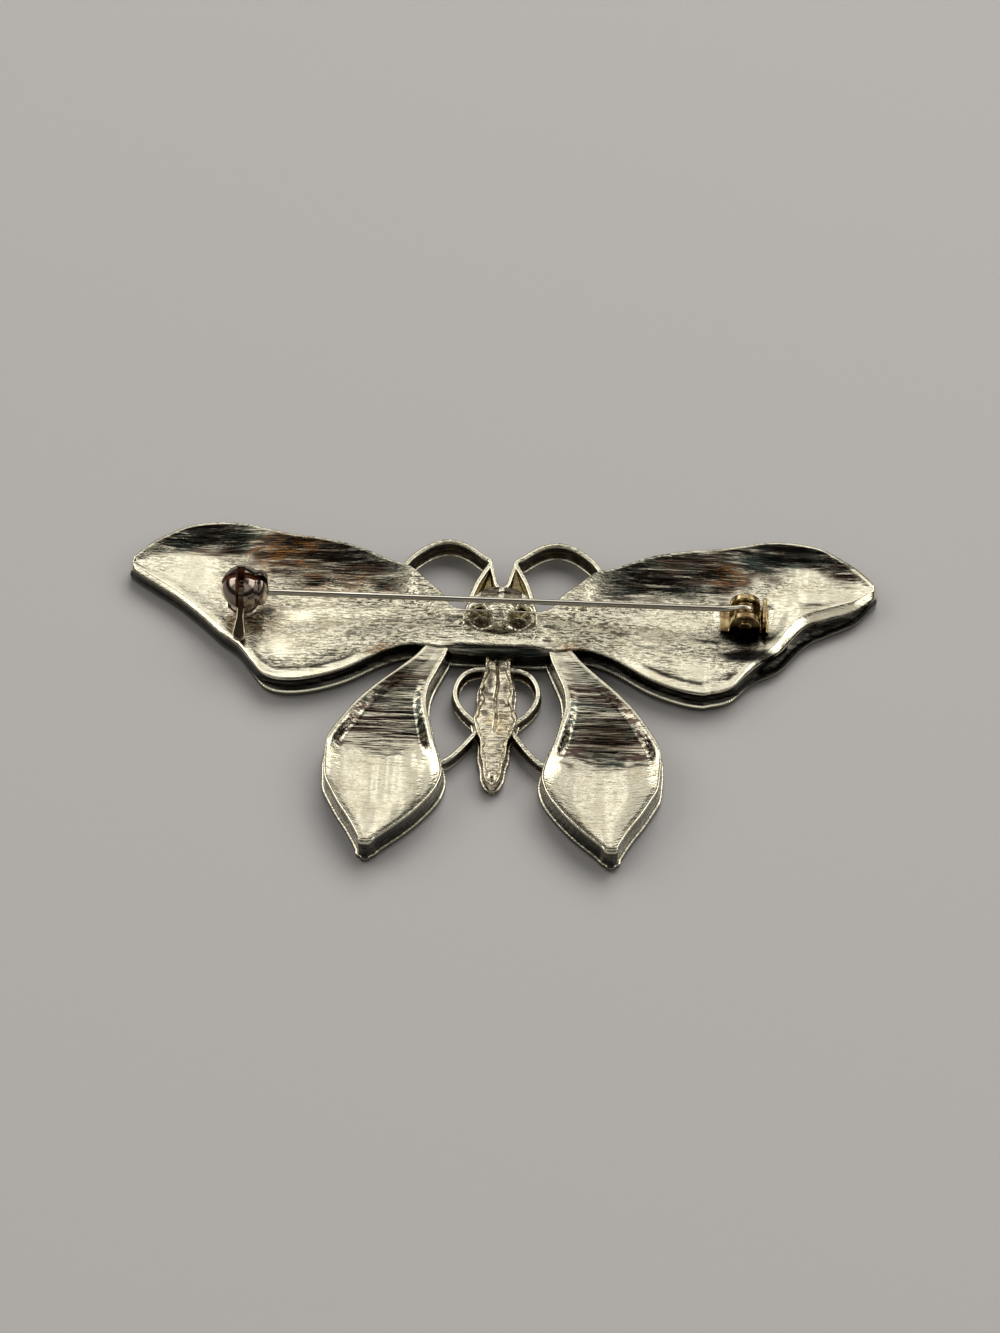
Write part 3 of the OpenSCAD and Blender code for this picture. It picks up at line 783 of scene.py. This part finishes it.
def strip(name, path, width, low, high, lip):
    """One profile carried along a path, which is given in shares of the brooch's size."""
    line = smooth_rows([[x * HALF_W, y_of(y)] for x, y in path], 10)
    move = np.gradient(line, axis=0)
    move = move / np.linalg.norm(move, axis=1)[:, None]
    across = np.stack([-move[:, 1], move[:, 0]], 1)
    b = width / 2
    # Each point is (offset, height, wall mark); the wall mark paints shade on the wall between the bead and the lip
    right = [
        (0.55 * b, low, 0.0),
        (b + lip - 0.05, low + 0.03, 0.0),
        (b + lip, low + 0.12, 0.0),
        (b + lip, low + 0.34, 0.1),
        (b - 0.06, low + 0.46, 0.9),
        (b - 0.12, low + 0.7, 1.0),
        (b - 0.12, high - 0.55, 1.0),
        (b - 0.04, high - 0.34, 0.7),
        (b, high - 0.2, 0.1),
        (b - 0.04, high - 0.07, 0.0),
        (b - 0.14, high, 0.0),
    ]
    ring = right + [(-d, z, m) for d, z, m in reversed(right)]
    rings = np.array([[(*(p + d * a), z) for d, z, m in ring] for p, a in zip(line, across)])
    wall = np.tile([m for d, z, m in ring], (len(line), 1))
    return skin(name, rings, {"wall": wall})


ANTENNA_PATH = [
    (0.266, 0.862),
    (0.246, 0.896),
    (0.218, 0.923),
    (0.189, 0.943),
    (0.155, 0.954),
    (0.121, 0.951),
    (0.089, 0.936),
    (0.057, 0.911),
    (0.034, 0.892),
    (0.050, 0.857),
    (0.067, 0.821),
    (0.082, 0.775),
]
BROW_PATH = [(0.034, 0.892), (0.023, 0.848), (0.015, 0.820), (0.000, 0.806)]
SCROLL_PATH = [
    (0.030, 0.567),
    (0.061, 0.564),
    (0.088, 0.548),
    (0.105, 0.518),
    (0.108, 0.488),
    (0.099, 0.459),
    (0.080, 0.431),
    (0.050, 0.402),
]
STRUT_PATH = [(0.036, 0.392), (0.066, 0.349), (0.093, 0.314), (0.118, 0.289), (0.140, 0.277)]
# Name, path, width, height of the bead's top, how far the lip stands out
STRIPS = [
    ("antenna", ANTENNA_PATH, 0.6, 3.15, 0.12),
    ("brow", BROW_PATH, 0.5, 3.1, 0.05),
    ("scroll", SCROLL_PATH, 0.6, 2.25, 0.12),
    ("strut", STRUT_PATH, 0.6, 2.2, 0.05),
]
strips = []
for side, word in ((-1, "left"), (1, "right")):
    for name, path, width, high, lip in STRIPS:
        own_side = [(side * x, y) for x, y in path]
        strips.append(strip(f"{name}_{word}", own_side, width, STRIP_LOW, high, lip))

# %% [markdown]
# ## Cups between the feet of the antennae
# The space between the two feet of each antenna is closed by a small dark olive-brown plate. Each plate is drawn
# as a polygon and extruded up, and its top is inset twice, with a step at the second inset. A step goes along the
# normal of its face. The right plate's corners run the other way round, so its step goes up and not down.


# %% Model the cups
CUP_TALL, CUP_STEP = 2.3, 0.45  # height of a plate's sides, and of the step in its top


def cup(name, side):
    corners = [(0.033, 0.884), (0.062, 0.822), (0.078, 0.772), (0.0, 0.768), (0.0, 0.806), (0.015, 0.820)]
    bm = bmesh.new()
    base = [bm.verts.new((side * x * HALF_W * MM, y_of(y) * MM, STRIP_LOW * MM)) for x, y in corners]
    floor_face = bm.faces.new(base)
    grown = bmesh.ops.extrude_face_region(bm, geom=[floor_face])["geom"]
    bmesh.ops.translate(bm, vec=(0, 0, CUP_TALL * MM), verts=[v for v in grown if isinstance(v, bmesh.types.BMVert)])
    top = [f for f in grown if isinstance(f, bmesh.types.BMFace)]
    bmesh.ops.inset_region(bm, faces=top, thickness=0.35 * MM, depth=0)
    bmesh.ops.inset_region(bm, faces=top, thickness=0.3 * MM, depth=-CUP_STEP * MM)
    bmesh.ops.recalc_face_normals(bm, faces=bm.faces)
    return finish_mesh(name, bm, 50)


cups = [cup("antenna_cup_left", -1), cup("antenna_cup_right", 1)]

# %% [markdown]
# ## Pale gold plate
# The casting is plated in a pale champagne gold and was filed from side to side. So the file marks are noise that is
# long across the wings and short along them, at two sizes, and they go into the bump. The walls get painted shade.


# %% Helpers for node materials
def new_material(name):
    """A new material, its node tree, and its shader."""
    material = bpy.data.materials.new(name)
    material.use_nodes = True
    return material, material.node_tree, material.node_tree.nodes["Principled BSDF"]


def noise(tree, stretch, detail, rough=0.55):
    """Noise with this many cells a metre along X, Y and Z."""
    place = tree.nodes.new("ShaderNodeTexCoord")
    turn = tree.nodes.new("ShaderNodeMapping")
    turn.inputs["Scale"].default_value = stretch
    texture = tree.nodes.new("ShaderNodeTexNoise")
    texture.inputs["Scale"].default_value = 1.0
    texture.inputs["Detail"].default_value = detail
    texture.inputs["Roughness"].default_value = rough
    tree.links.new(place.outputs["Object"], turn.inputs["Vector"])
    tree.links.new(turn.outputs["Vector"], texture.inputs["Vector"])
    return texture.outputs["Fac"]


def levels(tree, value, low, high, out_low=0.0, out_high=1.0):
    """Stretch the part of a value between low and high to the range from out_low to out_high."""
    change = tree.nodes.new("ShaderNodeMapRange")
    change.inputs["From Min"].default_value = low
    change.inputs["From Max"].default_value = high
    change.inputs["To Min"].default_value = out_low
    change.inputs["To Max"].default_value = out_high
    tree.links.new(value, change.inputs["Value"])
    return change.outputs["Result"]


def blend_colour(tree, share, first, second):
    """Two colours, or sockets that give them, blended by a share."""
    blend = tree.nodes.new("ShaderNodeMix")
    blend.data_type = "RGBA"
    for socket, colour in ((6, first), (7, second)):
        if isinstance(colour, tuple):
            blend.inputs[socket].default_value = (*colour, 1)
        else:
            tree.links.new(colour, blend.inputs[socket])
    tree.links.new(share, blend.inputs[0])
    return blend.outputs[2]


def calc(tree, kind, first, second=0.0):
    step = tree.nodes.new("ShaderNodeMath")
    step.operation = kind
    for i, value in enumerate((first, second)):
        if isinstance(value, (int, float)):
            step.inputs[i].default_value = value
        else:
            tree.links.new(value, step.inputs[i])
    return step.outputs[0]


def times(tree, first, second):
    return calc(tree, "MULTIPLY", first, second)


def mark(tree, name):
    """The mark of this name on the mesh, or 0 where a piece has none."""
    read = tree.nodes.new("ShaderNodeAttribute")
    read.attribute_name = name
    return read.outputs["Fac"]


def coordinates(tree, kind="Object"):
    """X, Y and Z of each place, as three sockets."""
    place = tree.nodes.new("ShaderNodeTexCoord")
    split = tree.nodes.new("ShaderNodeSeparateXYZ")
    tree.links.new(place.outputs[kind], split.inputs[0])
    return split.outputs


def scratched(tree, shader, layers):
    """Bump from layers of (height, depth in millimetres), added together."""
    total = 0.0
    for height, depth in layers:
        total = calc(tree, "ADD", times(tree, height, depth), total)
    bump = tree.nodes.new("ShaderNodeBump")
    bump.inputs["Strength"].default_value = 1.0
    bump.inputs["Distance"].default_value = MM
    tree.links.new(total, bump.inputs["Height"])
    tree.links.new(bump.outputs["Normal"], shader.inputs["Normal"])


# %% [markdown]
# ## One recipe for all the plate
# The gold gets its layers from the bottom up: clean plate, darker blotches, painted shade in tarnish tones with bright
# streaks left open in it, brown stains, dirt in the pits, painted black shade on the walls, and grime mixed with
# painted shade. Each layer is a colour blended over the last one. The same pits go into the bump, so that colour and
# surface agree there.

# %% Build the plated metal
PALE_GOLD, TARNISH = (0.83, 0.785, 0.61), (0.52, 0.42, 0.24)
BLACK_WALL_SHADE = ((0.014, 0.013, 0.011), (0.06, 0.055, 0.044))
BROWN_WALL_SHADE = ((0.05, 0.033, 0.02), (0.21, 0.15, 0.085))
BROWN_TARNISH_AND_SHADE, GREEN_TARNISH_AND_SHADE = (0.07, 0.04, 0.03), (0.035, 0.052, 0.047)
BROWN_STAIN, PIT_DIRT = (0.36, 0.17, 0.055), (0.13, 0.115, 0.08)
GRIME_AND_SHADE, DRY_GRIME_AND_SHADE = (0.05, 0.035, 0.022), (0.19, 0.145, 0.1)
ROPE_RATE = 25000.0  # radians for each metre along X, so one twist of the lip each quarter of a millimetre


def plated(
    name, lines, grain, speck, gold=PALE_GOLD, tarnish=TARNISH, wall_shade=BLACK_WALL_SHADE, stain=BROWN_STAIN, open_at=0.5
):
    """Pale gold plate: lines and grain are the depths of its file marks and fine scratches, speck the
    share of dirt in its pits, and open_at the noise level above which a bright streak shows through the painted shade."""
    material, tree, shader = new_material(name)
    # Gold with darker blotches
    blotch = levels(tree, noise(tree, (260, 420, 420), 5), 0.5, 0.72)
    colour = blend_colour(tree, times(tree, blotch, 0.4), gold, tarnish)
    # Painted shade in brown and green tones, partly real tarnish, where the shade mark is, open in streaks
    streak = levels(tree, noise(tree, (110, 2100, 2100), 3), open_at, open_at + 0.13)
    patch = noise(tree, (190, 330, 330), 3)
    dull = blend_colour(tree, levels(tree, patch, 0.45, 0.62), BROWN_TARNISH_AND_SHADE, GREEN_TARNISH_AND_SHADE)
    cover = times(tree, mark(tree, "shade"), levels(tree, streak, 0, 1, 0.97, 0.2))
    colour = blend_colour(tree, cover, colour, dull)
    # Mottled stains
    mottle = levels(tree, noise(tree, (620, 1100, 1100), 4, 0.7), 0.4, 0.58)
    cover = times(tree, mark(tree, "stain"), mottle)
    colour = blend_colour(tree, cover, colour, stain)
    # Pits and short cuts, fewer where the metal is dark or rubbed smooth
    pits = levels(tree, noise(tree, (1300, 4200, 4200), 3, 0.6), 0.53, 0.6)
    cuts = levels(tree, noise(tree, (330, 4200, 4200), 2), 0.58, 0.66)
    calm = calc(tree, "MAXIMUM", mark(tree, "shade"), mark(tree, "polish"))
    zone = levels(tree, noise(tree, (90, 200, 200), 2), 0.42, 0.6, 0.55, 1.4)
    rough = times(tree, levels(tree, calm, 0, 1, 1.0, 0.15), zone)
    specks = times(tree, calc(tree, "MAXIMUM", pits, cuts), rough)
    colour = blend_colour(tree, times(tree, specks, speck), colour, PIT_DIRT)
    # Painted black shade on the walls, and grime mixed with painted shade
    dark = blend_colour(tree, streak, *wall_shade)
    colour = blend_colour(tree, mark(tree, "wall"), colour, dark)
    dirt_and_shade = blend_colour(tree, streak, GRIME_AND_SHADE, DRY_GRIME_AND_SHADE)
    colour = blend_colour(tree, mark(tree, "grime_and_shade"), colour, dirt_and_shade)
    tree.links.new(colour, shader.inputs["Base Color"])
    shader.inputs["Metallic"].default_value = 1.0
    tree.links.new(levels(tree, blotch, 0, 1, 0.14, 0.24), shader.inputs["Roughness"])
    # Bump: the twist of the lip, two sizes of file marks, scuffs and pits
    ribs = calc(tree, "SINE", times(tree, coordinates(tree)["X"], ROPE_RATE))
    ribs = times(tree, ribs, mark(tree, "rope"))
    wide = noise(tree, (150, 1900, 1900), 2)
    wide = times(tree, wide, levels(tree, mark(tree, "shade"), 0, 1, 0.45, 1.0))
    thin = noise(tree, (420, 6000, 6000), 2)
    scuffs = noise(tree, (1500, 4800, 4800), 2, 0.6)
    scuffs = times(tree, scuffs, rough)
    layers = [(wide, lines), (thin, 0.3 * lines), (scuffs, grain), (specks, -0.018 * speck), (ribs, 0.03)]
    scratched(tree, shader, layers)
    print(f"{name}: {len(tree.nodes)} nodes")
    return material


wing_plate = plated("filed_pale_gold", 0.06, 0.08, 0.85)
cup_plate = plated("dark_olive_gold", 0.02, 0.14, 0.5, (0.24, 0.19, 0.09), (0.10, 0.065, 0.035))
strip_plate = plated("brown_sided_gold", 0.03, 0.06, 0.3, wall_shade=BROWN_WALL_SHADE)
WARM_GOLD, WARM_TARNISH, ORANGE_STAIN = (0.74, 0.68, 0.52), (0.45, 0.35, 0.2), (0.72, 0.46, 0.13)
body_plate = plated("worn_pale_gold", 0.03, 0.03, 0.6, WARM_GOLD, WARM_TARNISH, BROWN_WALL_SHADE, ORANGE_STAIN)
leaf_plate = plated("lined_pale_gold", 0.12, 0.02, 0.15, (0.74, 0.695, 0.54), open_at=0.46)

# %% Plate the casting
for metal, pieces in (
    (wing_plate, [front_wings, thorax]),
    (strip_plate, strips),
    (body_plate, [abdomen]),
    (leaf_plate, [hind_wing_left, hind_wing_right]),
    (cup_plate, cups),
):
    for piece in pieces:
        piece.data.materials.append(metal)
    print(f"{metal.name}: {len(pieces)} pieces")
for piece in [front_wings, hind_wing_left, hind_wing_right, thorax, abdomen] + strips + cups:
    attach(piece, "brooch")
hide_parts("casting")

# %% [markdown]
# ## The ball catch
# The catch is a bronze ball on a short foot, with a collar where the pin goes in. A groove along its crest lets the
# pin drop in, and a slot across it holds the lock disc. The ball is turned from a drawn half section. The groove and
# slot are then cut out of it, as a slitting saw would, and every cut edge gets a small bevel.

# %% Helpers that turn, cut and soften
X_AXIS, Y_AXIS, Z_AXIS = (1, 0, 0), (0, 1, 0), (0, 0, 1)


def turned_mesh(half_section, centre, axis, side, steps=96):
    """Spin (along, radius) points in millimetres about an axis, and close the poles."""
    bm = bmesh.new()
    c, a, r = Vector(centre), Vector(axis), Vector(side)
    line = [bm.verts.new((c + a * u + r * v) * MM) for u, v in half_section]
    edges = [bm.edges.new(pair) for pair in zip(line[:-1], line[1:])]
    bmesh.ops.spin(
        bm,
        geom=line + edges,
        cent=c * MM,
        axis=a,
        angle=2 * math.pi,
        steps=steps,
        use_merge=True,
        use_duplicate=False,
    )
    bmesh.ops.remove_doubles(bm, verts=bm.verts, dist=WELD)
    bmesh.ops.recalc_face_normals(bm, faces=bm.faces)
    return bm


def block(name, low, high):
    """A box between two corners in millimetres."""
    bm = bmesh.new()
    bmesh.ops.create_cube(bm, size=1)
    size = Vector(high) - Vector(low)
    bmesh.ops.scale(bm, vec=size * MM, verts=bm.verts)
    bmesh.ops.translate(bm, vec=(Vector(low) + size / 2) * MM, verts=bm.verts)
    return finish_mesh(name, bm)


def carve(piece, *cutters):
    """Cut solids out of a piece, keep the result as its mesh, drop the cutters, and soften the cut edges."""
    for cutter in cutters:
        step = piece.modifiers.new("cut", "BOOLEAN")
        step.operation = "DIFFERENCE"
        step.solver = "EXACT"
        step.object = cutter
    cut = bpy.data.meshes.new_from_object(piece.evaluated_get(bpy.context.evaluated_depsgraph_get()))
    piece.modifiers.clear()
    piece.data = cut
    for cutter in cutters:
        bpy.data.objects.remove(cutter)
    return soften(piece, 0.05, 30)


def soften(piece, width, angle):
    """Round the edges that turn by more than this many degrees."""
    edge = piece.modifiers.new("edges", "BEVEL")
    edge.width = width * MM
    edge.segments = 3
    edge.limit_method = "ANGLE"
    edge.angle_limit = math.radians(angle)
    edge.use_clamp_overlap = True
    piece.data.shade_smooth()
    piece.data.set_sharp_from_angle(angle=math.radians(angle + 5))
    return piece


# %% Turn and cut the catch
PIN_Z = 5.4
BALL_R, BALL_Z = 2.5, 6.2
BALL_ON = 0.12  # the ball's middle is this far towards the hinge from the middle of its foot
ball_line = [
    (BALL_ON - BALL_R * math.cos(a), BALL_R * math.sin(a)) for a in np.linspace(0, math.radians(126), 52)
]
collar_line = [(1.68, 1.98), (1.78, 1.99), (1.92, 2.05), (2.12, 2.09), (2.36, 2.06), (2.58, 1.95), (2.78, 1.76)]
collar_line += [(2.92, 1.5), (3.0, 1.2), (3.02, 0.9), (3.02, 0.0)]
bm = turned_mesh(ball_line + collar_line, (CATCH_X, PIN_Y, BALL_Z), X_AXIS, Z_AXIS)
catch_ball = finish_mesh("catch_ball", bm, 35)
GROOVE_HALF, SLOT_HALF, ABOVE = 0.38, 0.475, BALL_Z + 4
groove = block("groove", (CATCH_X - 4, PIN_Y - GROOVE_HALF, PIN_Z - 0.42), (CATCH_X + 4, PIN_Y + GROOVE_HALF, ABOVE))
slot_low = (CATCH_X - SLOT_HALF, PIN_Y - 4.5, PIN_Z - 1.45)
slot = block("slot", slot_low, (CATCH_X + SLOT_HALF, PIN_Y + 1.45, ABOVE))
carve(catch_ball, groove, slot)
foot_line = [(0.0, 0.0), (0.0, 1.9), (0.12, 1.72), (0.3, 1.5), (0.6, 1.38), (1.5, 1.38), (1.5, 0.0)]
bm = turned_mesh(foot_line, (CATCH_X, PIN_Y, SEAT_Z - 0.12), Z_AXIS, X_AXIS)
catch_foot = finish_mesh("catch_foot", bm, 50)

# %% [markdown]
# ## Lock lever, hinge and rivet
# These small pieces already have the right outline in the frame. A copy of each is merged from loose triangles,
# cleaned of flat edges, and given rounded edges, because a stamped and tumbled part has no sharp ones.


# %% Copy and soften the stamped parts
def stamped(name, node_name, width):
    """A softened copy of a CAD node, with edges rounded by this many millimetres."""
    sharp = 40  # degrees
    bm = bmesh.new()
    bm.from_mesh(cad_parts[node_name].data)
    bmesh.ops.remove_doubles(bm, verts=bm.verts, dist=WELD)
    bmesh.ops.dissolve_limit(bm, angle_limit=math.radians(1), verts=bm.verts, edges=bm.edges)
    bmesh.ops.recalc_face_normals(bm, faces=bm.faces)
    return soften(finish_mesh(name, bm, sharp), width, sharp)


lock_lever = stamped("lock_lever", "catch_lock", 0.12)
hinge_ears = stamped("hinge_ears", "hinge_bracket", 0.14)
hinge_rivet = stamped("rivet", "hinge_rivet", 0.16)

# %% [markdown]
# ## The pin
# The pin is drawn wire with a ground point. Its other end goes over a ribbed barrel on the rivet, and bends down
# into it. A round section is carried along the wire's path, and it gets smaller towards the point.

# %% Draw the pin
WIRE_R = 0.35
TIP_X = CATCH_X - BALL_R + 0.3
wire_path = [(TIP_X + along, PIN_Z) for along in (0, 0.15, 1.5, 3.2, 5)]
wire_path += [(x, PIN_Z) for x in (-15, 0, 15, 24)]
wire_path += [(25.8, 5.42), (26.8, 5.56), (27.6, 5.74), (28.3, 5.78), (28.8, 5.55), (28.95, 5.2), (28.8, 4.9)]
wire = smooth_rows(wire_path, 6)
reach = wire[:, 0] - TIP_X
wire_r = WIRE_R * (0.12 + 0.88 * np.clip(reach / 5, 0, 1) ** 0.75)
wire_r[0] = 0.01  # the very point
move = np.gradient(wire, axis=0)
move = move / np.linalg.norm(move, axis=1)[:, None]
turn = np.linspace(0, 2 * np.pi, 28, endpoint=False)
rings = np.stack(
    [
        wire[:, :1] - move[:, 1:] * wire_r[:, None] * np.sin(turn),
        PIN_Y + wire_r[:, None] * np.cos(turn),
        wire[:, 1:] + move[:, :1] * wire_r[:, None] * np.sin(turn),
    ],
    2,
)
pin_wire = skin("pin_wire", rings)

# %% Turn the pin's barrel
RIVET_Z, BARREL_HALF = 4.6, 0.84
rivet = (HINGE_X, PIN_Y, RIVET_Z)
across = np.linspace(-BARREL_HALF, BARREL_HALF, 61)
ribs = [(u, 1.12 + 0.16 * abs(math.cos(math.pi * u / 0.33)) ** 0.6) for u in across]
bm = turned_mesh([(-BARREL_HALF, 0.0)] + ribs + [(BARREL_HALF, 0.0)], rivet, Y_AXIS, Z_AXIS, 64)
pin_barrel = finish_mesh("pin_barrel", bm, 60)
bm = turned_mesh([(-1.2, 0.0), (-1.2, 0.49), (1.2, 0.49), (1.2, 0.0)], rivet, Y_AXIS, Z_AXIS, 48)
carve(pin_barrel, finish_mesh("rivet_hole", bm))

# %% [markdown]
# ## Metals of the findings
# The catch is a dark bronze mirror with copper showing inside its slot, lightened there as painted light. The hinge
# has browned and has a painted shadow on its south face, and the wire is bright.
# Each one is a blend of two tones by a soft noise, so that no two places are the same, with faint drawing marks.

# %% Blend the aged metals
PAINTED_SHADOW = (0.016, 0.012, 0.012)  # painted shadow on the hinge's south face


def aged(name, bright, dull, rough, scale, drawn, inner=None, shadow=None):
    """Two tones blended by soft noise. drawn is how its fine drawing marks are stretched.

    inner gives the metal another colour within a radius of a place, (centre, radius, colour), and shadow
    paints a shadow on it below a Y and a Z, (y, z), all in millimetres."""
    material, tree, shader = new_material(name)
    share = levels(tree, noise(tree, scale, 4), 0.4, 0.62)
    colour = blend_colour(tree, share, bright, dull)
    if inner:
        centre, radius, shine = inner
        place = tree.nodes.new("ShaderNodeTexCoord")
        distance = tree.nodes.new("ShaderNodeVectorMath")
        distance.operation = "DISTANCE"
        distance.inputs[1].default_value = Vector(centre) * MM
        tree.links.new(place.outputs["Object"], distance.inputs[0])
        inside = levels(tree, distance.outputs["Value"], radius * MM, (radius - 0.25) * MM)
        colour = blend_colour(tree, inside, colour, shine)
        share = calc(tree, "ADD", share, times(tree, inside, 3.0))
    # Painted shadow below a Y and a Z
    if shadow:
        below_y, below_z = shadow
        place = coordinates(tree)
        shadowed = levels(tree, place["Y"], (below_y + 0.15) * MM, below_y * MM)
        low = levels(tree, place["Z"], (below_z + 0.15) * MM, (below_z - 0.1) * MM)
        colour = blend_colour(tree, times(tree, shadowed, low), colour, PAINTED_SHADOW)
    tree.links.new(colour, shader.inputs["Base Color"])
    shader.inputs["Metallic"].default_value = 1.0
    tree.links.new(levels(tree, share, 0, 4, rough, rough + 0.48), shader.inputs["Roughness"])
    scratched(tree, shader, [(noise(tree, drawn, 2), 0.008)])
    print(f"{name}: {len(tree.nodes)} nodes")
    return material


# Copper tone inside the ball, lightened as painted light so that the groove and slot do not go dark
copper_and_light_inside = ((CATCH_X, PIN_Y, BALL_Z), 2.25, (0.62, 0.34, 0.24))
bronze_tones = (0.32, 0.262, 0.215), (0.23, 0.18, 0.145)
bronze = aged("dark_bronze", *bronze_tones, 0.1, (500, 500, 500), (900, 2600, 900), copper_and_light_inside)
lever_metal = aged("lever_brass", (0.42, 0.34, 0.22), (0.17, 0.12, 0.08), 0.16, (700, 500, 700), (2600, 700, 900))
brown, red = (0.55, 0.43, 0.22), (0.21, 0.125, 0.06)
blotches, drawn = (900, 1100, 700), (900, 2400, 900)
hinge_metal = aged("browned_hinge", brown, red, 0.16, blotches, drawn, shadow=(PIN_Y - 1.62, 4.3))
barrel_metal = aged("browned_coil", (0.44, 0.35, 0.18), red, 0.16, blotches, drawn)
wire_tones = (0.97, 0.92, 0.80), (0.82, 0.74, 0.58)
wire_metal = aged("bright_wire", *wire_tones, 0.06, (160, 900, 900), (120, 4000, 4000))

# %% Fit the findings to their bodies
for piece, metal, body, finish, node in (
    (catch_ball, bronze, "brooch", "catch_metal", "catch_housing"),
    (catch_foot, bronze, "brooch", "catch_metal", None),
    (lock_lever, lever_metal, "lock", "catch_metal", "catch_lock"),
    (hinge_ears, hinge_metal, "brooch", "hinge_metal", "hinge_bracket"),
    (hinge_rivet, hinge_metal, "brooch", "hinge_metal", "hinge_rivet"),
    (pin_wire, wire_metal, "pin", "pin_wire", "pin_stem"),
    (pin_barrel, barrel_metal, "pin", "pin_wire", None),
):
    piece.data.materials.clear()
    piece.data.materials.append(metal)
    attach(piece, body)
    if node:
        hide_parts(node)
    print(f"{piece.name}: {metal.name}, rides on the {body}")

# %% [markdown]
# ## Floor, light and camera
# A polished back shows what stands round it more than its own colour. The world is a dark studio with a softbox on
# the head's side, from low to about two thirds of the way up, so flat metal is bright and metal that tips back goes
# dark. Two brighter panels stand at its sides, and a dimmer softbox behind the camera lights the other sides of the
# brooch.

# %% Floor
bm = bmesh.new()
bmesh.ops.create_grid(bm, x_segments=1, y_segments=1, size=1.2)
floor = finish_mesh("floor", bm)
paper, _, shader = new_material("pale_floor")
shader.inputs["Base Color"].default_value = (0.31, 0.297, 0.287, 1)
shader.inputs["Roughness"].default_value = 0.85
floor.data.materials.append(paper)
floor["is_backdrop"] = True

# %% World
world = bpy.data.worlds.new("studio")
bpy.context.scene.world = world
world.use_nodes = True
studio = world.node_tree
studio.nodes.clear()
way = coordinates(studio, "Generated")
rise = calc(studio, "ARCSINE", way["Z"])
bearing = calc(studio, "ARCTAN2", way["X"], way["Y"])
turned = calc(studio, "ABSOLUTE", bearing)  # angle from the head's side, to the left or the right


def past(value, low, high):
    """0 below the first angle and 1 above the second, in degrees."""
    change = studio.nodes.new("ShaderNodeMapRange")
    change.interpolation_type = "SMOOTHSTEP"
    change.inputs["From Min"].default_value = math.radians(low)
    change.inputs["From Max"].default_value = math.radians(high)
    studio.links.new(value, change.inputs["Value"])
    return change.outputs["Result"]


def times_all(first, *others):
    for other in others:
        first = times(studio, first, other)
    return first


def plus(a, b):
    return calc(studio, "ADD", a, b)


def less(a):
    return calc(studio, "SUBTRACT", 1.0, a)


def between(value, start, end):
    """1 between two soft edges, each given as a pair of angles in degrees."""
    return times_all(past(value, *start), less(past(value, *end)))


softbox = times_all(between(rise, (20, 30), (64, 70)), less(past(turned, 66, 86)))
stripes = plus(between(bearing, (-16, -12), (-6, -2)), between(bearing, (8, 11), (15, 19)))
glow = plus(0.83, times_all(stripes, 0.8))
panels = times_all(between(rise, (19, 28), (50, 56)), between(turned, (40, 50), (96, 122)))
back_softbox = times_all(between(rise, (20, 34), (68, 76)), past(turned, 108, 130))
camera_gap = times_all(past(turned, 150, 164), past(rise, 26, 38), 0.9)
back_softbox = times_all(back_softbox, less(camera_gap))
power = plus(times_all(softbox, glow), times_all(back_softbox, 0.6))
power = plus(plus(power, times_all(panels, 2.2)), 0.03)
sky = studio.nodes.new("ShaderNodeBackground")
sky.inputs["Color"].default_value = (1.0, 0.985, 0.95, 1)
studio.links.new(power, sky.inputs["Strength"])
studio.links.new(sky.outputs[0], studio.nodes.new("ShaderNodeOutputWorld").inputs["Surface"])
print("studio:", len(studio.nodes), "nodes")

# %% Lamp for the floor
lamp_data = bpy.data.lights.new("soft_lamp", "AREA")
lamp_data.shape = "DISK"
lamp_data.size = 0.9
lamp_data.energy = 14
lamp = bpy.data.objects.new("soft_lamp", lamp_data)
lamp.location = (0.25, 0.75, 0.95)
lamp.rotation_euler = (-lamp.location).to_track_quat("-Z", "Y").to_euler()
lamp.visible_glossy = False
lamp.visible_camera = False
bpy.context.scene.collection.objects.link(lamp)
lamp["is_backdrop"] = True
print("lamp:", lamp_data.energy, "W over", lamp_data.size, "m")

# %% Camera
ELEVATION, TURN, AWAY = math.radians(56.6), math.radians(2.6), 0.376
RIGHT_BY, UP_BY = 0.000392, 0.004012  # metres from the brooch's middle to the middle of the picture
right = Vector((math.cos(TURN), math.sin(TURN), 0))
ahead = Vector((-math.sin(TURN), math.cos(TURN), 0))
look = math.cos(ELEVATION) * ahead - math.sin(ELEVATION) * Vector((0, 0, 1))
up = math.sin(ELEVATION) * ahead + math.cos(ELEVATION) * Vector((0, 0, 1))
eye = RIGHT_BY * right + UP_BY * up - AWAY * look
lens = bpy.data.cameras.new("camera")
lens.lens = 88.07
lens.sensor_width = 36
lens.clip_start = 0.01
camera = bpy.data.objects.new("camera", lens)
camera.matrix_world = Matrix.Translation(eye) @ Matrix((right, up, -look)).transposed().to_4x4()
bpy.context.scene.collection.objects.link(camera)
bpy.context.scene.camera = camera
bpy.context.scene.view_settings.view_transform = "Standard"
print("camera:", round(math.degrees(ELEVATION), 1), "degrees above the floor,", AWAY, "m away")

# %% Finish
low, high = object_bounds()
print("visual box:", [round(v / MM, 2) for v in low], [round(v / MM, 2) for v in high])
